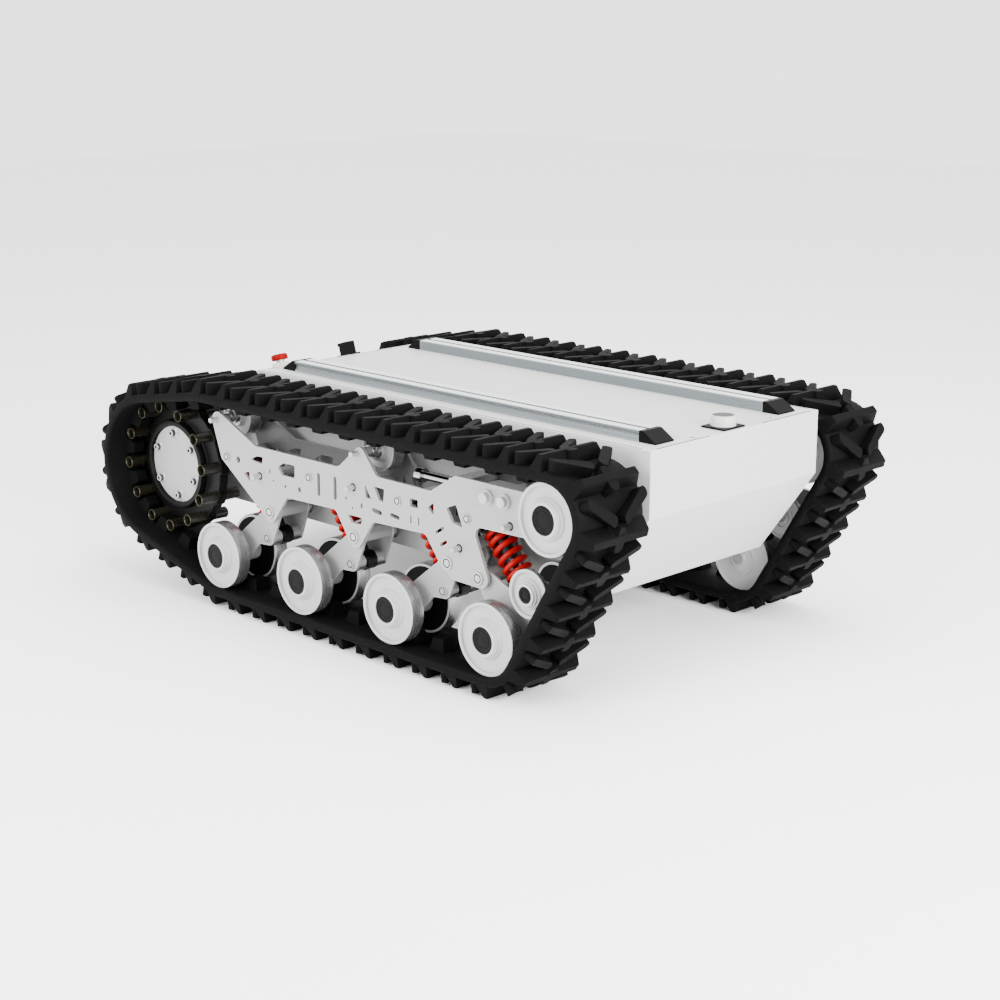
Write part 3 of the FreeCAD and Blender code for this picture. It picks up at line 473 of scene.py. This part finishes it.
class BeltLine:
    """Neutral line of one belt round its wheels: an arc and a straight for each wheel in turn."""

    SPROCKET_ARC = 8  # its place in pieces, after four wheels with an arc and a straight each

    def __init__(self, side):
        half = BELT_THICKNESS / 2 + RUN_GAP
        circles = []
        for node in ("road_wheel_1", "road_wheel_4", "idler_wheel", "return_roller_rear"):
            low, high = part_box(f"{side}_{node}")
            circles.append((*node_centre(f"{side}_{node}"), (high.x - low.x) / MM / 2 + half))
        circles.append((*joint_place(f"{side}_sprocket_spin"), PINS * PITCH / (2 * math.pi)))
        self.pieces = []
        angles = tangents(circles)
        for index, (x, z, radius) in enumerate(circles):
            arrive = angles[index - 1]
            sweep = (angles[index] - arrive) % (2 * math.pi)
            nx, nz, following = circles[(index + 1) % len(circles)]
            out = Vector((math.cos(angles[index]), math.sin(angles[index])))
            start = Vector((x, z)) + out * radius
            end = Vector((nx, nz)) + out * following
            self.pieces.append(("arc", radius * sweep, (x, z, radius, arrive)))
            self.pieces.append(("line", (end - start).length, (start, end, angles[index])))
        self.length = sum(length for _, length, _ in self.pieces)
        self.pitch = self.length / LINKS
        before = sum(length for _, length, _ in self.pieces[:self.SPROCKET_ARC])
        _, _, (_, _, radius, arrive) = self.pieces[self.SPROCKET_ARC]
        lead = (math.radians(PIN_PHASE + 180 / PINS) - arrive) % (2 * math.pi / PINS)
        self.first = before + lead * radius

    def at(self, distance):
        """Point (x, z) and outward unit vector at a distance along the line."""
        distance %= self.length
        for kind, length, data in self.pieces:
            if distance <= length:
                break
            distance -= length
        if kind == "arc":
            x, z, radius, arrive = data
            angle = arrive + distance / radius
            out = Vector((math.cos(angle), math.sin(angle)))
            return Vector((x, z)) + out * radius, out
        start, end, angle = data
        return start.lerp(end, distance / length), Vector((math.cos(angle), math.sin(angle)))

    def stations(self):
        """Distances along the line: close together on arcs, and at every link on straights."""
        marks = []
        before = 0.0
        for kind, length, _ in self.pieces:
            count = max(2, round(length / (ARC_STEP if kind == "arc" else LINE_STEP)))
            marks += [before + length * step / count for step in range(count)]
            before += length
        return marks


def belt_band(bm, line, sign):
    """The flat band of the belt, with rounded edges."""
    half = BELT_THICKNESS / 2
    wide = BELT_WIDTH / 2
    section = [(-wide, -half + 2), (-wide + 2, -half), (wide - 2, -half), (wide, -half + 2),
               (wide, half - 2), (wide - 2, half), (-wide + 2, half), (-wide, half - 2)]
    rings = []
    for distance in line.stations():
        point, out = line.at(distance)
        ring = []
        for across, rise in section:
            spot = point + out * rise
            ring.append(bm.verts.new((spot.x, sign * (TRACK_CENTRE + across), spot.y)))
        rings.append(ring)
    for index, ring in enumerate(rings):
        bridge(bm, ring, rings[(index + 1) % len(rings)])


def link_place(line, link, sign):
    """Maps (forward, across, rise) of one link, wrapped on to the belt line, to a point."""
    origin = line.first + link * line.pitch

    def place(forward, across, rise):
        point, out = line.at(origin - forward)
        spot = point + out * rise
        return spot.x, sign * (TRACK_CENTRE + across), spot.y

    return place


def cross_bar(bm, place):
    """Full-width bar whose four faces slope in to a narrow crest."""
    half = BELT_THICKNESS / 2
    edge = BELT_WIDTH / 2 - 0.2
    rings = []
    levels = ((half - 2, 0.0, LUG_FOOT), (half, 0.0, LUG_FOOT),
              (half + LUG_HEIGHT - 0.4, LUG_INSET, LUG_CREST))
    for rise, inset, (ahead, behind) in levels:
        wide = edge - inset
        corners = [(ahead, -wide), (behind, -wide), (behind, wide), (ahead, wide)]
        rings.append([bm.verts.new(place(forward, across, rise)) for forward, across in corners])
    for first, second in zip(rings, rings[1:]):
        bridge(bm, first, second)
    bm.faces.new(rings[0])
    bm.faces.new(rings[-1])


def centre_block(bm, place):
    """Block that crosses the bar at the belt's middle."""
    outline = [(16, -7), (16, 7), (10, 12), (-12, 12), (-20, 6), (-20, -6), (-12, -12), (10, -12)]
    half = BELT_THICKNESS / 2
    prism(bm, outline, place, half - 1.5, half + LUG_HEIGHT - 0.6, shrink=3.0)


def chevron(bm, place, hand):
    """Round-ended block that slants from the belt's edge, behind, to its middle, ahead."""
    rear = Vector(CHEVRON_REAR)
    front = Vector(CHEVRON_FRONT)
    along = (front - rear).normalized()
    side = Vector((-along.y, along.x))
    width = CHEVRON_WIDTH
    outline = []
    for tip, way in ((rear, -1), (front, 1)):
        for turn in (-90, -55, -20, 20, 55, 90):
            angle = math.radians(turn)
            reach = along * (way * math.cos(angle) * width * 0.8) + side * (way * math.sin(angle) * width)
            spot = tip + reach
            outline.append((spot.x, hand * spot.y))
    half = BELT_THICKNESS / 2
    prism(bm, outline, place, half - 1.5, half + CHEVRON_HEIGHT, shrink=1.6)


def guide_horn(bm, place):
    """Tapered horn on the inside of the belt, which runs between the wheel discs."""
    half = BELT_THICKNESS / 2
    low, high = (y - TRACK_CENTRE for y in HORN_SIDES)
    outline = [(-18, low + 1), (-17, low), (17, low), (18, low + 1), (18, high - 1), (17, high),
               (-17, high), (-18, high - 1)]
    prism(bm, outline, lambda u, v, h: place(u, v, -h), half - 2, half + HORN_HEIGHT, shrink=7.5)


def make_belt(side, sign):
    line = BeltLine(side)
    band = bmesh.new()
    belt_band(band, line, sign)
    belt = piece(f"{side}_belt_band", band, ["rubber"], "root", smooth=50)
    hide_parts(f"{side}_track_belt")
    tread = bmesh.new()
    horns = bmesh.new()
    for link in range(LINKS):
        place = link_place(line, link, sign)
        cross_bar(tread, place)
        centre_block(tread, place)
        for hand in (-1, 1):
            chevron(tread, place, hand)
        guide_horn(horns, place)
    piece(f"{side}_belt_tread", tread, ["rubber"], "root", smooth=28, bevel=0.9)
    piece(f"{side}_belt_horns", horns, ["rubber"], "root", smooth=28, bevel=1.4)


# ---- wheels ----
# the third band kind puts black on the inner disc's outward face: painted shade in the gap between the discs
FACE, RIM, GAP_SHADE = 0, 1, 2


def outer_disc(radius, inner_y, face_y, hub_y, hub):
    """Profile of a disc seen from outside: lip, dished web, two-stepped hub and the seat of its cap."""
    web = face_y - 6.0
    step = (hub_y - web) / 3
    return [(hub + 2, inner_y, FACE), (radius - 3, inner_y, RIM), (radius - 0.8, inner_y + 0.4, RIM),
            (radius, inner_y + 1.4, RIM), (radius, face_y - 1.6, FACE), (radius - 0.5, face_y - 0.4, FACE),
            (radius - 1.6, face_y, FACE), (radius - 4.4, face_y, FACE), (radius - 5.4, face_y - 0.6, FACE),
            (radius - 5.8, web, FACE), (radius - 7.5, web - 0.6, FACE), (hub + 8, web - 0.4, FACE),
            (hub + 6.8, web, FACE), (hub + 5.4, web + step - 0.8, FACE), (hub + 4.6, web + step, FACE),
            (hub + 3.2, web + step, FACE), (hub + 2.6, web + step + 0.8, FACE),
            (hub + 2.2, web + 2 * step, FACE),
            (hub + 0.6, web + 2 * step + 0.2, FACE), (hub, web + 2 * step + 1.0, FACE),
            (hub, hub_y - 0.9, FACE), (hub - 0.5, hub_y - 0.2, FACE), (hub - 1.2, hub_y, FACE),
            (hub - 4.4, hub_y, FACE), (hub - 5.0, hub_y - 0.8, FACE), (hub - 5.3, hub_y - 3.4, FACE)]


def cap_profile(hub, hub_y):
    """Dark hub cap: shallow dish with a raised ring."""
    rim = hub - CAP_SEAT
    return [(rim, hub_y - 6, 0), (rim, hub_y - 1.8, 0), (rim - 0.8, hub_y - 1.0, 0),
            (rim - 3.0, hub_y - 0.9, 0), (rim - 3.6, hub_y - 1.5, 0), (rim * 0.66, hub_y - 1.6, 0),
            (rim * 0.63, hub_y - 1.0, 0), (rim * 0.58, hub_y - 1.0, 0), (rim * 0.55, hub_y - 1.7, 0),
            (rim * 0.2, hub_y - 1.4, 0), (0, hub_y - 1.3, 0)]


def twin_wheel(side, sign, name, body, radius, inner, outer, hub_y, hub, shaft):
    """Two discs on one shaft, with the cap in the outer hub. It stands for the whole CAD wheel."""
    centre = node_centre(f"{side}_{name}")
    y0, y1 = inner
    bm = bmesh.new()
    # the inner disc's outward face is black: painted shade in the gap between the two discs
    back = [(0, y0 - 9, RIM), (shaft, y0 - 9, FACE), (shaft, y0 - 2.2, FACE), (shaft + 1, y0 - 1, FACE),
            (hub * 0.72, y0 - 1, FACE), (hub * 0.75, y0 + 1.6, FACE), (hub * 0.98, y0 + 2.0, FACE),
            (hub, y0 - 0.6, FACE), (hub + 3, y0 - 0.6, FACE), (hub + 4, y0 + 1.8, FACE),
            (hub + 7, y0 + 2.6, FACE), (radius - 8, y0 + 3.0, FACE), (radius - 5, y0 + 2.4, FACE),
            (radius - 4.2, y0 + 0.3, FACE), (radius - 1.4, y0, FACE), (radius - 0.3, y0 + 0.5, FACE),
            (radius, y0 + 1.5, RIM), (radius, y1 - 1, RIM), (radius - 1, y1, FACE),
            (radius - 5, y1, GAP_SHADE), (hub, y1, GAP_SHADE), (hub - 1, y1 + 0.4, GAP_SHADE), (shaft, y1 + 0.4, RIM),
            (shaft, outer[0] - 1, FACE)]
    lathe(bm, back + outer_disc(radius, outer[0], outer[1], hub_y, hub)
          + [(hub - 5.3, hub_y - 5, FACE), (0, hub_y - 5, FACE)], centre, sign)
    middle = (centre[0], sign * (y0 + hub_y) / 2, centre[1])
    wheel = piece(f"{side}_{name}_discs", bm, ["wheel", "rim", "black"], body, smooth=26,
                  origin=middle)
    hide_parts(f"{side}_{name}")
    return centre


def hub_cap(side, sign, name, body, centre, hub, hub_y, notches=0):
    """Cap, with a ring of small notches where the wheel has them."""
    bm = bmesh.new()
    lathe(bm, cap_profile(hub, hub_y), centre, sign, 60)
    for index in range(notches):
        spot = around(centre, (hub - CAP_SEAT) * 0.78, 360 * (index + 0.5) / notches)
        lathe(bm, [(1.5, hub_y - 2.5, 0), (1.5, hub_y - 0.9, 0), (1.1, hub_y - 0.7, 0), (0, hub_y - 0.7, 0)],
              spot, sign, 12)
    middle = (centre[0], sign * hub_y, centre[1])
    piece(f"{side}_{name}_cap", bm, ["cap"], body, origin=middle)


def make_wheels(side, sign):
    for number in ARMS:
        name = f"road_wheel_{number}"
        body = f"{side}_wheel_{number}"
        inner = NARROW_INNER_DISC if number == 4 else INNER_DISC
        centre = twin_wheel(side, sign, name, body, ROAD_RADIUS, inner, OUTER_DISC, HUB_FACE, ROAD_HUB,
                            WHEEL_SHAFT)
        hub_cap(side, sign, name, body, centre, ROAD_HUB, HUB_FACE)
    body = f"{side}_idler"
    centre = twin_wheel(side, sign, "idler_wheel", body, IDLER_RADIUS, INNER_DISC, OUTER_DISC, HUB_FACE,
                        IDLER_HUB, WHEEL_SHAFT)
    hub_cap(side, sign, "idler_wheel", body, centre, IDLER_HUB, HUB_FACE, notches=6)
    body = f"{side}_guide"
    centre = twin_wheel(side, sign, "guide_wheel", body, GUIDE_RADIUS, GUIDE_INNER_DISC, GUIDE_OUTER_DISC,
                        GUIDE_HUB_FACE, GUIDE_HUB, GUIDE_SHAFT)
    hub_cap(side, sign, "guide_wheel", body, centre, GUIDE_HUB, GUIDE_HUB_FACE)


def make_rollers(side, sign):
    """Return rollers: one disc with a stepped hub, turning on its frame pin."""
    for place in ("rear", "middle"):
        name = f"return_roller_{place}"
        x, z = node_centre(f"{side}_{name}")
        bm = bmesh.new()
        y0, y1 = INNER_DISC
        profile = [(8.1, y0 - 3, FACE), (15, y0 - 3, FACE), (16, y0 - 2, FACE), (16, y0 + 5, FACE),
                   (34, y0 + 5, FACE), (36, y0 + 3, FACE), (36.4, y0 + 0.6, FACE), (38.6, y0, FACE),
                   (39.6, y0 + 0.4, FACE), (40, y0 + 1.4, RIM), (40, y1 - 1.4, FACE), (39.6, y1 - 0.4, FACE),
                   (38.6, y1, FACE), (36.8, y1 - 0.4, FACE), (36, y1 - 1.4, FACE), (35.2, y1 - 5.4, FACE),
                   (33, y1 - 6, FACE), (23, y1 - 6, FACE), (21.4, y1 - 5, FACE), (20.4, y1 - 1, FACE),
                   (20, y1 + 4.6, FACE), (19, y1 + 6, RIM), (14, y1 + 6, RIM), (13.6, y1 + 12, RIM),
                   (11.6, y1 + 12.6, RIM), (11, y1 + 19, RIM), (10, y1 + 20, RIM), (8.1, y1 + 20, RIM),
                   (8.1, y0 - 3, FACE)]
        lathe(bm, profile, (x, z), sign)
        middle = (x, sign * y1, z)
        roller = piece(f"{side}_{name}_disc", bm, ["wheel", "rim"], f"{side}_roller_{place}",
                       smooth=26, origin=middle)
        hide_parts(f"{side}_{name}")


# ---- sprocket ----
def make_sprocket(side, sign):
    body = f"{side}_sprocket"
    x, z = joint_place(f"{side}_sprocket_spin")
    carrier = bmesh.new()
    scalloped_plate(carrier, (x, z), sign)
    lathe(carrier, [(74.6, 323, 0), (74.6, 334.4, 0), (75.6, 336.6, 0), (77.4, 337, 0), (82.8, 337, 0),
                    (84.6, 336.2, 0), (85.6, 333, 0), (86.4, 323, 0), (88, 321.5, 0)], (x, z), sign, 96)
    plate = piece(f"{side}_sprocket_carrier", carrier, ["carrier"], body, smooth=30,
                  origin=(x, sign * 322, z))
    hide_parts(f"{side}_drive_sprocket")
    pins = bmesh.new()
    for index in range(PINS):
        spot = around((x, z), PIN_CIRCLE, PIN_PHASE + 360 * index / PINS)
        lathe(pins, pin_profile(), spot, sign, 30)
    piece(f"{side}_drive_pins", pins, ["pin", "pin_rim"], body, smooth=40)
    sprocket_hub(side, sign, body, (x, z))


def pin_profile():
    """Hollow pin with a thin pale rim at both mouths."""
    bore = PIN_RADIUS - PIN_WALL
    return [(bore, 346, 0), (bore, 360.2, 1), (bore + 0.5, 361, 1), (PIN_RADIUS - 0.5, 361, 1),
            (PIN_RADIUS, 360.2, 0), (PIN_RADIUS, 358.6, 0), (PIN_RADIUS - 0.3, 358.2, 0),
            (PIN_RADIUS - 0.3, 272.8, 0), (PIN_RADIUS, 272.2, 0), (PIN_RADIUS, 270.8, 1),
            (PIN_RADIUS - 0.5, 270, 1), (bore + 0.5, 270, 1), (bore, 270.8, 0), (bore, 286, 0), (0, 286, 0)]


def scalloped_plate(bm, centre, sign):
    """Thick plate whose edge is cut back a little between the pins."""
    steps = PINS * 12
    rings = []
    back, front = CARRIER_FACES
    cut = CARRIER_CHAMFER
    for y, trim in ((back, cut), (back + cut, 0), (front - cut, 0), (front, cut)):
        ring = []
        for step in range(steps):
            degrees = 360 * step / steps
            phase = (degrees - PIN_PHASE) % (360 / PINS)
            from_pin = min(phase, 360 / PINS - phase)
            radius = CARRIER_CREST if from_pin < CREST_HALF_ANGLE else CARRIER_VALLEY
            u, v = around(centre, radius - trim, degrees)
            ring.append(bm.verts.new((u, sign * y, v)))
        rings.append(ring)
    for first, second in zip(rings, rings[1:]):
        bridge(bm, first, second)
    inner = []
    for y in CARRIER_FACES:
        inner.append([bm.verts.new((u, sign * y, v)) for u, v in round_points(centre, CARRIER_BORE, steps)])
    bridge(bm, inner[0], rings[0])
    bridge(bm, rings[-1], inner[1])
    bridge(bm, inner[1], inner[0])


def sprocket_hub(side, sign, body, centre):
    """White hub disc with soft bosses, and six polished cap screws."""
    bm = bmesh.new()
    shaft = [(0, 185, 1), (15, 185, 1), (15, 254, 1), (34, 254, 0), (34, 300, 0), (39.6, 302, 0),
             (39.6, 324, 0)]
    disc = [(72.8, 324, 0), (74.3, 325, 0), (74.4, 328.8, 0), (73.6, 329.8, 0), (72.2, 330, 0), (60, 330, 0),
            (40, 330.3, 0), (0, 330.4, 0)]
    boss = [(11.5, 329.6, 0), (9.6, 330.6, 0), (8.4, 331.6, 0), (7.2, 331.9, 0), (0, 331.9, 0)]
    lathe(bm, shaft + disc, centre, sign, 96)
    screws = bmesh.new()
    for index in range(HUB_SCREWS):
        spot = around(centre, SCREW_CIRCLE, PIN_PHASE + 30 + 360 * index / HUB_SCREWS)
        lathe(bm, boss, spot, sign, 32)
        # the dark web steel goes in the socket, as painted shade, and round the head's side
        lathe(screws, [(6.5, 331, 1), (6.5, 338.0, 0), (6.1, 338.8, 0), (5.4, 339, 0), (3.3, 339, 1),
                       (3.2, 334, 1), (0, 334, 1)], spot, sign, 28)
    made = piece(f"{side}_sprocket_hub_disc", bm, ["hub", "rim"], body, smooth=34,
                 origin=(centre[0], sign * 330, centre[1]))
    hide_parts(f"{side}_sprocket_hub")
    piece(f"{side}_sprocket_screws", screws, ["zinc", "web"], body, smooth=40)


# ---- shocks ----
def blended(made):
    """Bakes a shock piece's placement into its mesh; the piece rides no body."""
    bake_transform(made)


def coil_path(top, ahead, length):
    """Helix of the spring, a little closer wound at its ends."""
    across = Vector((0, 1, 0))
    up = ahead.cross(across)
    steps = int(COIL_TURNS * 30)
    run = length - COIL_END_GAP - COIL_START
    path = []
    for step in range(steps + 1):
        share = step / steps
        eased = share - 0.03 * math.sin(2 * math.pi * share)
        turn = 2 * math.pi * COIL_TURNS * share
        here = top + ahead * (COIL_START + run * eased)
        path.append(here + (across * math.cos(turn) + up * math.sin(turn)) * COIL_RADIUS)
    return path


def make_shock(side, sign, number):
    """Coil-over shock: spring, damper and two bushed eyes."""
    (tx, tz), (bx, bz) = SHOCKS[number]
    top = Vector((tx, sign * SHOCK_Y, tz))
    bottom = Vector((bx, sign * SHOCK_Y, bz))
    length = (bottom - top).length
    ahead = (bottom - top).normalized()
    name = f"{side}_shock_{number}"

    coil = bmesh.new()
    tube(coil, coil_path(top, ahead, length), WIRE_RADIUS)
    made = piece(name + "_coil", coil, ["red"], None, smooth=60)
    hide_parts(name)
    blended(made)

    damper = bmesh.new()
    upper = [(4, 0), (4, 11), (18, 11.4), (19, 24), (20, 24.8), (24, 24.8), (25, 24), (25.2, 13), (26, 12.2),
             (88, 12.2), (89, 11.4), (89, 6.4)]
    rod = [(86, 6.2), (length - 46, 6.2)]
    lower = [(43, 6), (42.6, 24), (41.6, 24.8), (38, 24.8), (37, 24), (36.6, 12), (34, 11), (8, 10.4), (8, 0)]
    spindle(damper, top, bottom, upper, material=0)
    spindle(damper, top, bottom, rod, material=1)
    spindle(damper, top, bottom, [(length - gap, radius) for gap, radius in lower], material=0)
    made = piece(name + "_damper", damper, ["damper", "chrome"], None, smooth=40)
    blended(made)

    for end, centre, radius, pin, body in (("top", (tx, tz), TOP_EYE, 6.3, "root"),
                                           ("bottom", (bx, bz), BOTTOM_EYE, 8.3, f"{side}_arm_{number}")):
        eye = bmesh.new()
        lathe(eye, [(pin, 293, 0), (radius - 4, 293, 0), (radius - 3.4, 294, 0), (radius - 1, 294.2, 0),
                    (radius, 295.2, 0), (radius, 314.8, 0), (radius - 1, 315.8, 0), (radius - 3.4, 316, 0),
                    (radius - 4, 317, 0), (pin, 317, 0), (pin, 293, 0)], centre, sign, 48)
        piece(f"{name}_{end}_eye", eye, ["bush"], body, smooth=35)


# ---- hull, deck and frame details ----
def dress_cad():
    dress("hull", "hull_tub", "deck_plate", "deck_screws")
    dress("black", "rail_end_caps", "connector_flange", "rear_socket")
    dress("rail", "payload_rails")
    dress("ivory", "estop_collar")
    dress("battery", "battery_pack")
    dress("motor", "motor_controller", "drive_motors")
    dress("zinc", "frame_fasteners")
    for side, _ in SIDES:
        dress("plate", f"{side}_outer_side_plate", f"{side}_idler_yoke")
        dress("inner", f"{side}_inner_side_plate")
        dress("chrome", f"{side}_tensioner_rod")
        dress("arm", *[f"{side}_swing_arm_{number}" for number in ARMS])


def make_bolt_rings(side, sign):
    """Black ring round the middle of every pivot and shock bolt head, painted shade standing for a groove."""

    # each ring is black, raised a little off the bolt face: painted shade standing for a groove
    def shade_ring(bm, spot, face, inner, outer, lean=0.2):
        top = face + GROOVE_SHADE_RISE
        lathe(bm, [(inner, face, 0), (inner + lean, top, 0), (outer - 0.2, top, 0), (outer, face, 0),
                   (inner, face, 0)], spot, sign, 32)

    fixed = bmesh.new()
    for number in ARMS:
        shade_ring(fixed, joint_place(f"{side}_arm_{number}_swing"), BOLT_FACE, 6.0, 8.2)
    for top, _ in SHOCKS.values():
        shade_ring(fixed, top, BOLT_FACE, 4.4, 6.6)
    for spot in FRAME_PINS:
        shade_ring(fixed, spot, FRAME_PIN_FACE, 5.2, 7.4, lean=0.0)
    piece(f"{side}_plate_bolt_groove_shade", fixed, ["black"], "root", smooth=40)
    for number in ARMS:
        arm = f"{side}_arm_{number}"
        bm = bmesh.new()
        shade_ring(bm, SHOCKS[number][1], ARM_BOLT_FACE, 5.2, 7.2)
        piece(f"{arm}_bolt_groove_shade", bm, ["black"], arm, smooth=40)


def make_arm_webs(side, sign):
    """Bent sheets that close the underside of each trailing arm, either side of the shock's eye."""
    for number in ARMS[:3]:
        x, z = joint_place(f"{side}_arm_{number}_swing")
        outline = [(-45, -71), (-20, -71.5), (-4, -64.4), (-5, -61.5), (-20, -68.5), (-45, -68)]
        bm = bmesh.new()
        for low, high in WEB_STRIPS:
            prism(bm, outline, lambda u, v, h: (x + u, sign * h, z + v), low, high)
        arm = f"{side}_arm_{number}"
        # the sheets take the dark web steel: painted shade under the arm
        piece(f"{arm}_web", bm, ["web"], arm, smooth=30, bevel=0.5)


def make_bump_stops(side, sign):
    """Black rubber lever beside the lower eye of each trailing arm's shock."""
    for number in ARMS[:3]:
        x, z = SHOCKS[number][1]
        outline = [(-19, 3), (-14, -3), (-6, 6), (4, 21), (9, 30), (6, 35), (-1, 34), (-8, 24), (-15, 12)]
        bm = bmesh.new()
        prism(bm, outline, lambda u, v, h: (x + u, sign * h, z + v), *BUMP_STOP_SIDES, shrink=0.8)
        arm = f"{side}_arm_{number}"
        piece(f"{arm}_bump_stop", bm, ["bush"], arm, bevel=1.2)


def slab(bm, x0, x1, y0, y1, z0, z1):
    """Straight block between two corners."""
    outline = [(x0, y0), (x1, y0), (x1, y1), (x0, y1)]
    prism(bm, outline, lambda u, v, h: (u, v, h), z0, z1)


def make_deck_trim():
    """Black strips in the seam round the deck plate, painted shadow in the seam, and black hexagons on its
    screws, painted shade in their sockets.
    """
    low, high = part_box("deck_plate")
    front = high.x / MM - 1.5
    rear = low.x / MM + 1.5
    top = high.z / MM
    z0, z1 = (top + rise for rise in SEAM_SHADE_RISE)
    # black strips just below the seam's top: painted shadow in the seam
    seam_shadow = bmesh.new()
    for sign in (-1, 1):
        y0, y1 = sorted(sign * y for y in FRONT_SEAM_SHADE_ENDS)
        slab(seam_shadow, front - 0.8, front + 2.0, y0, y1, z0, z1)
        y0, y1 = sorted(sign * y for y in SIDE_SEAM_SHADE)
        slab(seam_shadow, rear + 14.5, front - 14.5, y0, y1, z0, z1)
    reach = FRONT_SEAM_SHADE_ENDS[1]
    slab(seam_shadow, rear - 1.48, rear - 0.02, -reach, reach, top - 2.6, top + 0.12)
    piece("deck_seam_shadow", seam_shadow, ["black"], "root")
    # black hexagons on the screw heads: painted shade in their sockets
    socket_shade = bmesh.new()
    for x, y in ((rear + 7, -104), (rear + 7, 0), (rear + 7, 104), (front - 7, -104), (front - 7, 104)):
        prism(socket_shade, round_points((x, y), 3.3, 6), lambda u, v, h: (u, v, h), top + 0.9, top + 1.75)
    piece("deck_screw_socket_shade", socket_shade, ["black"], "root")


def make_connector():
    """White round receptacle with a dark insulator in its mouth and rings of small contacts."""
    x, _ = node_centre("front_connector")
    _, flange_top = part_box("connector_flange")
    _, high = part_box("front_connector")
    base = Vector((x, 0, flange_top.z / MM))
    rise = high.z / MM - base.z
    up = Vector((0, 0, 1))
    foot = [(-20, 0), (-20, 13.7), (0, 13.7), (0, 21), (0.4, 21.4), (1.4, 21.4), (1.8, 21)]
    mouth = [(rise - 0.9, 21), (rise - 0.3, 20.7), (rise, 20.1), (rise, 18.9), (rise - 0.3, 18.5),
             (rise - 1.8, 18.4), (rise - 1.8, 0)]
    shell = bmesh.new()
    spindle(shell, base, base + up, foot + mouth, sides=80)
    made = piece("front_connector_shell", shell, ["ivory"], "root", smooth=40)
    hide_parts("front_connector")
    insulator = bmesh.new()
    plate = [(rise - 1.9, 0), (rise - 1.9, 18.2), (rise - 0.7, 18.2), (rise - 0.5, 18), (rise - 0.5, 0)]
    spindle(insulator, base, base + up, plate, sides=80)
    piece("front_connector_insulator", insulator, ["black"], "root", smooth=40)
    pins = bmesh.new()
    pin = [(rise - 0.6, 0), (rise - 0.6, 0.9), (rise - 0.3, 0.9), (rise - 0.1, 0.7), (rise - 0.1, 0)]
    for ring, count in ((0, 1), (5, 6), (10, 12), (14.8, 18)):
        for u, v in round_points((base.x, base.y), ring, count):
            spot = Vector((u, v, base.z))
            spindle(pins, spot, spot + up, pin, sides=12)
    piece("front_connector_contacts", pins, ["zinc"], "root", smooth=40)


def make_stop_button():
    """Red mushroom head on a steel stem, square to the sloping rear panel."""
    _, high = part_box("deck_plate")
    joint = next(j for j in frame["joints"] if j["name"] == "stop_button_press")
    up = -Vector(joint["axis"]).normalized()
    x, y = STOP_BUTTON
    base = Vector((x, y, high.z / MM - (x - SLOPE_START) * up.x / up.z))
    bm = bmesh.new()
    spindle(bm, base, base + up, [(-7, 0), (-7, 7.4), (-6.4, 8), (14, 8), (14, 0)], material=1)
    spindle(bm, base, base + up, [(13.2, 0), (13.2, 14.6), (13.7, 15.6), (14.7, 16), (21, 16), (22.8, 15.5),
                                  (24.1, 14.2), (24.8, 12.2), (25, 8), (25, 0)], sides=48)
    button = piece("stop_button_head", bm, ["button", "zinc"], "stop_button", smooth=40)
    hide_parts("estop_button")


# ---- stage, in metres ----
CAMERA_PLACE = (2.5555, -2.5436, 1.1208)
CAMERA_RIGHT = (0.71439, 0.69975, 0.00194)
CAMERA_UP = (-0.17662, 0.17764, 0.96812)
CAMERA_BACK = (0.67709, -0.69195, 0.25050)
CAMERA_LENS = 71.27
FLOOR_REACH = 9.0
FLOOR_DROP = 0.0005
WORLD_STRENGTH = 2.7
LIGHTS = (("key", (3.6, -0.6, 1.5), (0.2, 0, 0.2), (2.2, 1.4), 330),
          ("side", (-0.4, -3.6, 1.9), (0, 0, 0.2), (2.4, 1.2), 200),
          ("top", (0.6, 0.4, 3.4), (0, 0, 0.2), (3.0, 2.4), 150))


def make_camera():
    data = bpy.data.cameras.new("camera")
    data.lens = CAMERA_LENS
    data.sensor_width = 36.0
    data.clip_end = 60.0
    camera = bpy.data.objects.new("camera", data)
    bpy.context.scene.collection.objects.link(camera)
    camera.matrix_world = Matrix((CAMERA_RIGHT, CAMERA_UP, CAMERA_BACK)).transposed().to_4x4()
    camera.location = CAMERA_PLACE
    bpy.context.scene.camera = camera


def area_light(name, place, target, size, power):
    """Rectangular light of size (width, height), turned towards its target."""
    data = bpy.data.lights.new(name, "AREA")
    data.shape = "RECTANGLE"
    data.size, data.size_y = size
    data.energy = power
    light = bpy.data.objects.new(name, data)
    bpy.context.scene.collection.objects.link(light)
    light.location = place
    light.rotation_mode = "QUATERNION"
    light.rotation_quaternion = (Vector(target) - Vector(place)).to_track_quat("-Z", "Y")


def make_stage():
    """Plain pale floor, an even white world and three soft lights."""
    bm = bmesh.new()
    bmesh.ops.create_grid(bm, x_segments=1, y_segments=1, size=FLOOR_REACH)
    mesh = bpy.data.meshes.new("floor")
    bm.to_mesh(mesh)
    bm.free()
    floor = bpy.data.objects.new("floor", mesh)
    bpy.context.scene.collection.objects.link(floor)
    floor.location.z = -FLOOR_DROP
    paper = surface("floor_paper", (0.93, 0.93, 0.93), 0.85, vary=0.004, patch=2.0, grain=300.0, bump=0.01)
    mesh.materials.append(paper)
    world = bpy.data.worlds.new("studio")
    world.use_nodes = True
    background = world.node_tree.nodes["Background"]
    background.inputs["Color"].default_value = (1.0, 1.0, 1.0, 1.0)
    background.inputs["Strength"].default_value = WORLD_STRENGTH
    bpy.context.scene.world = world
    for light in LIGHTS:
        area_light(*light)


def main():
    make_camera()
    make_stage()
    dress_cad()
    make_connector()
    make_deck_trim()
    make_stop_button()
    for side, sign in SIDES:
        make_belt(side, sign)
        make_wheels(side, sign)
        make_rollers(side, sign)
        make_sprocket(side, sign)
        make_bolt_rings(side, sign)
        make_arm_webs(side, sign)
        make_bump_stops(side, sign)
        for number in ARMS:
            make_shock(side, sign, number)


main()
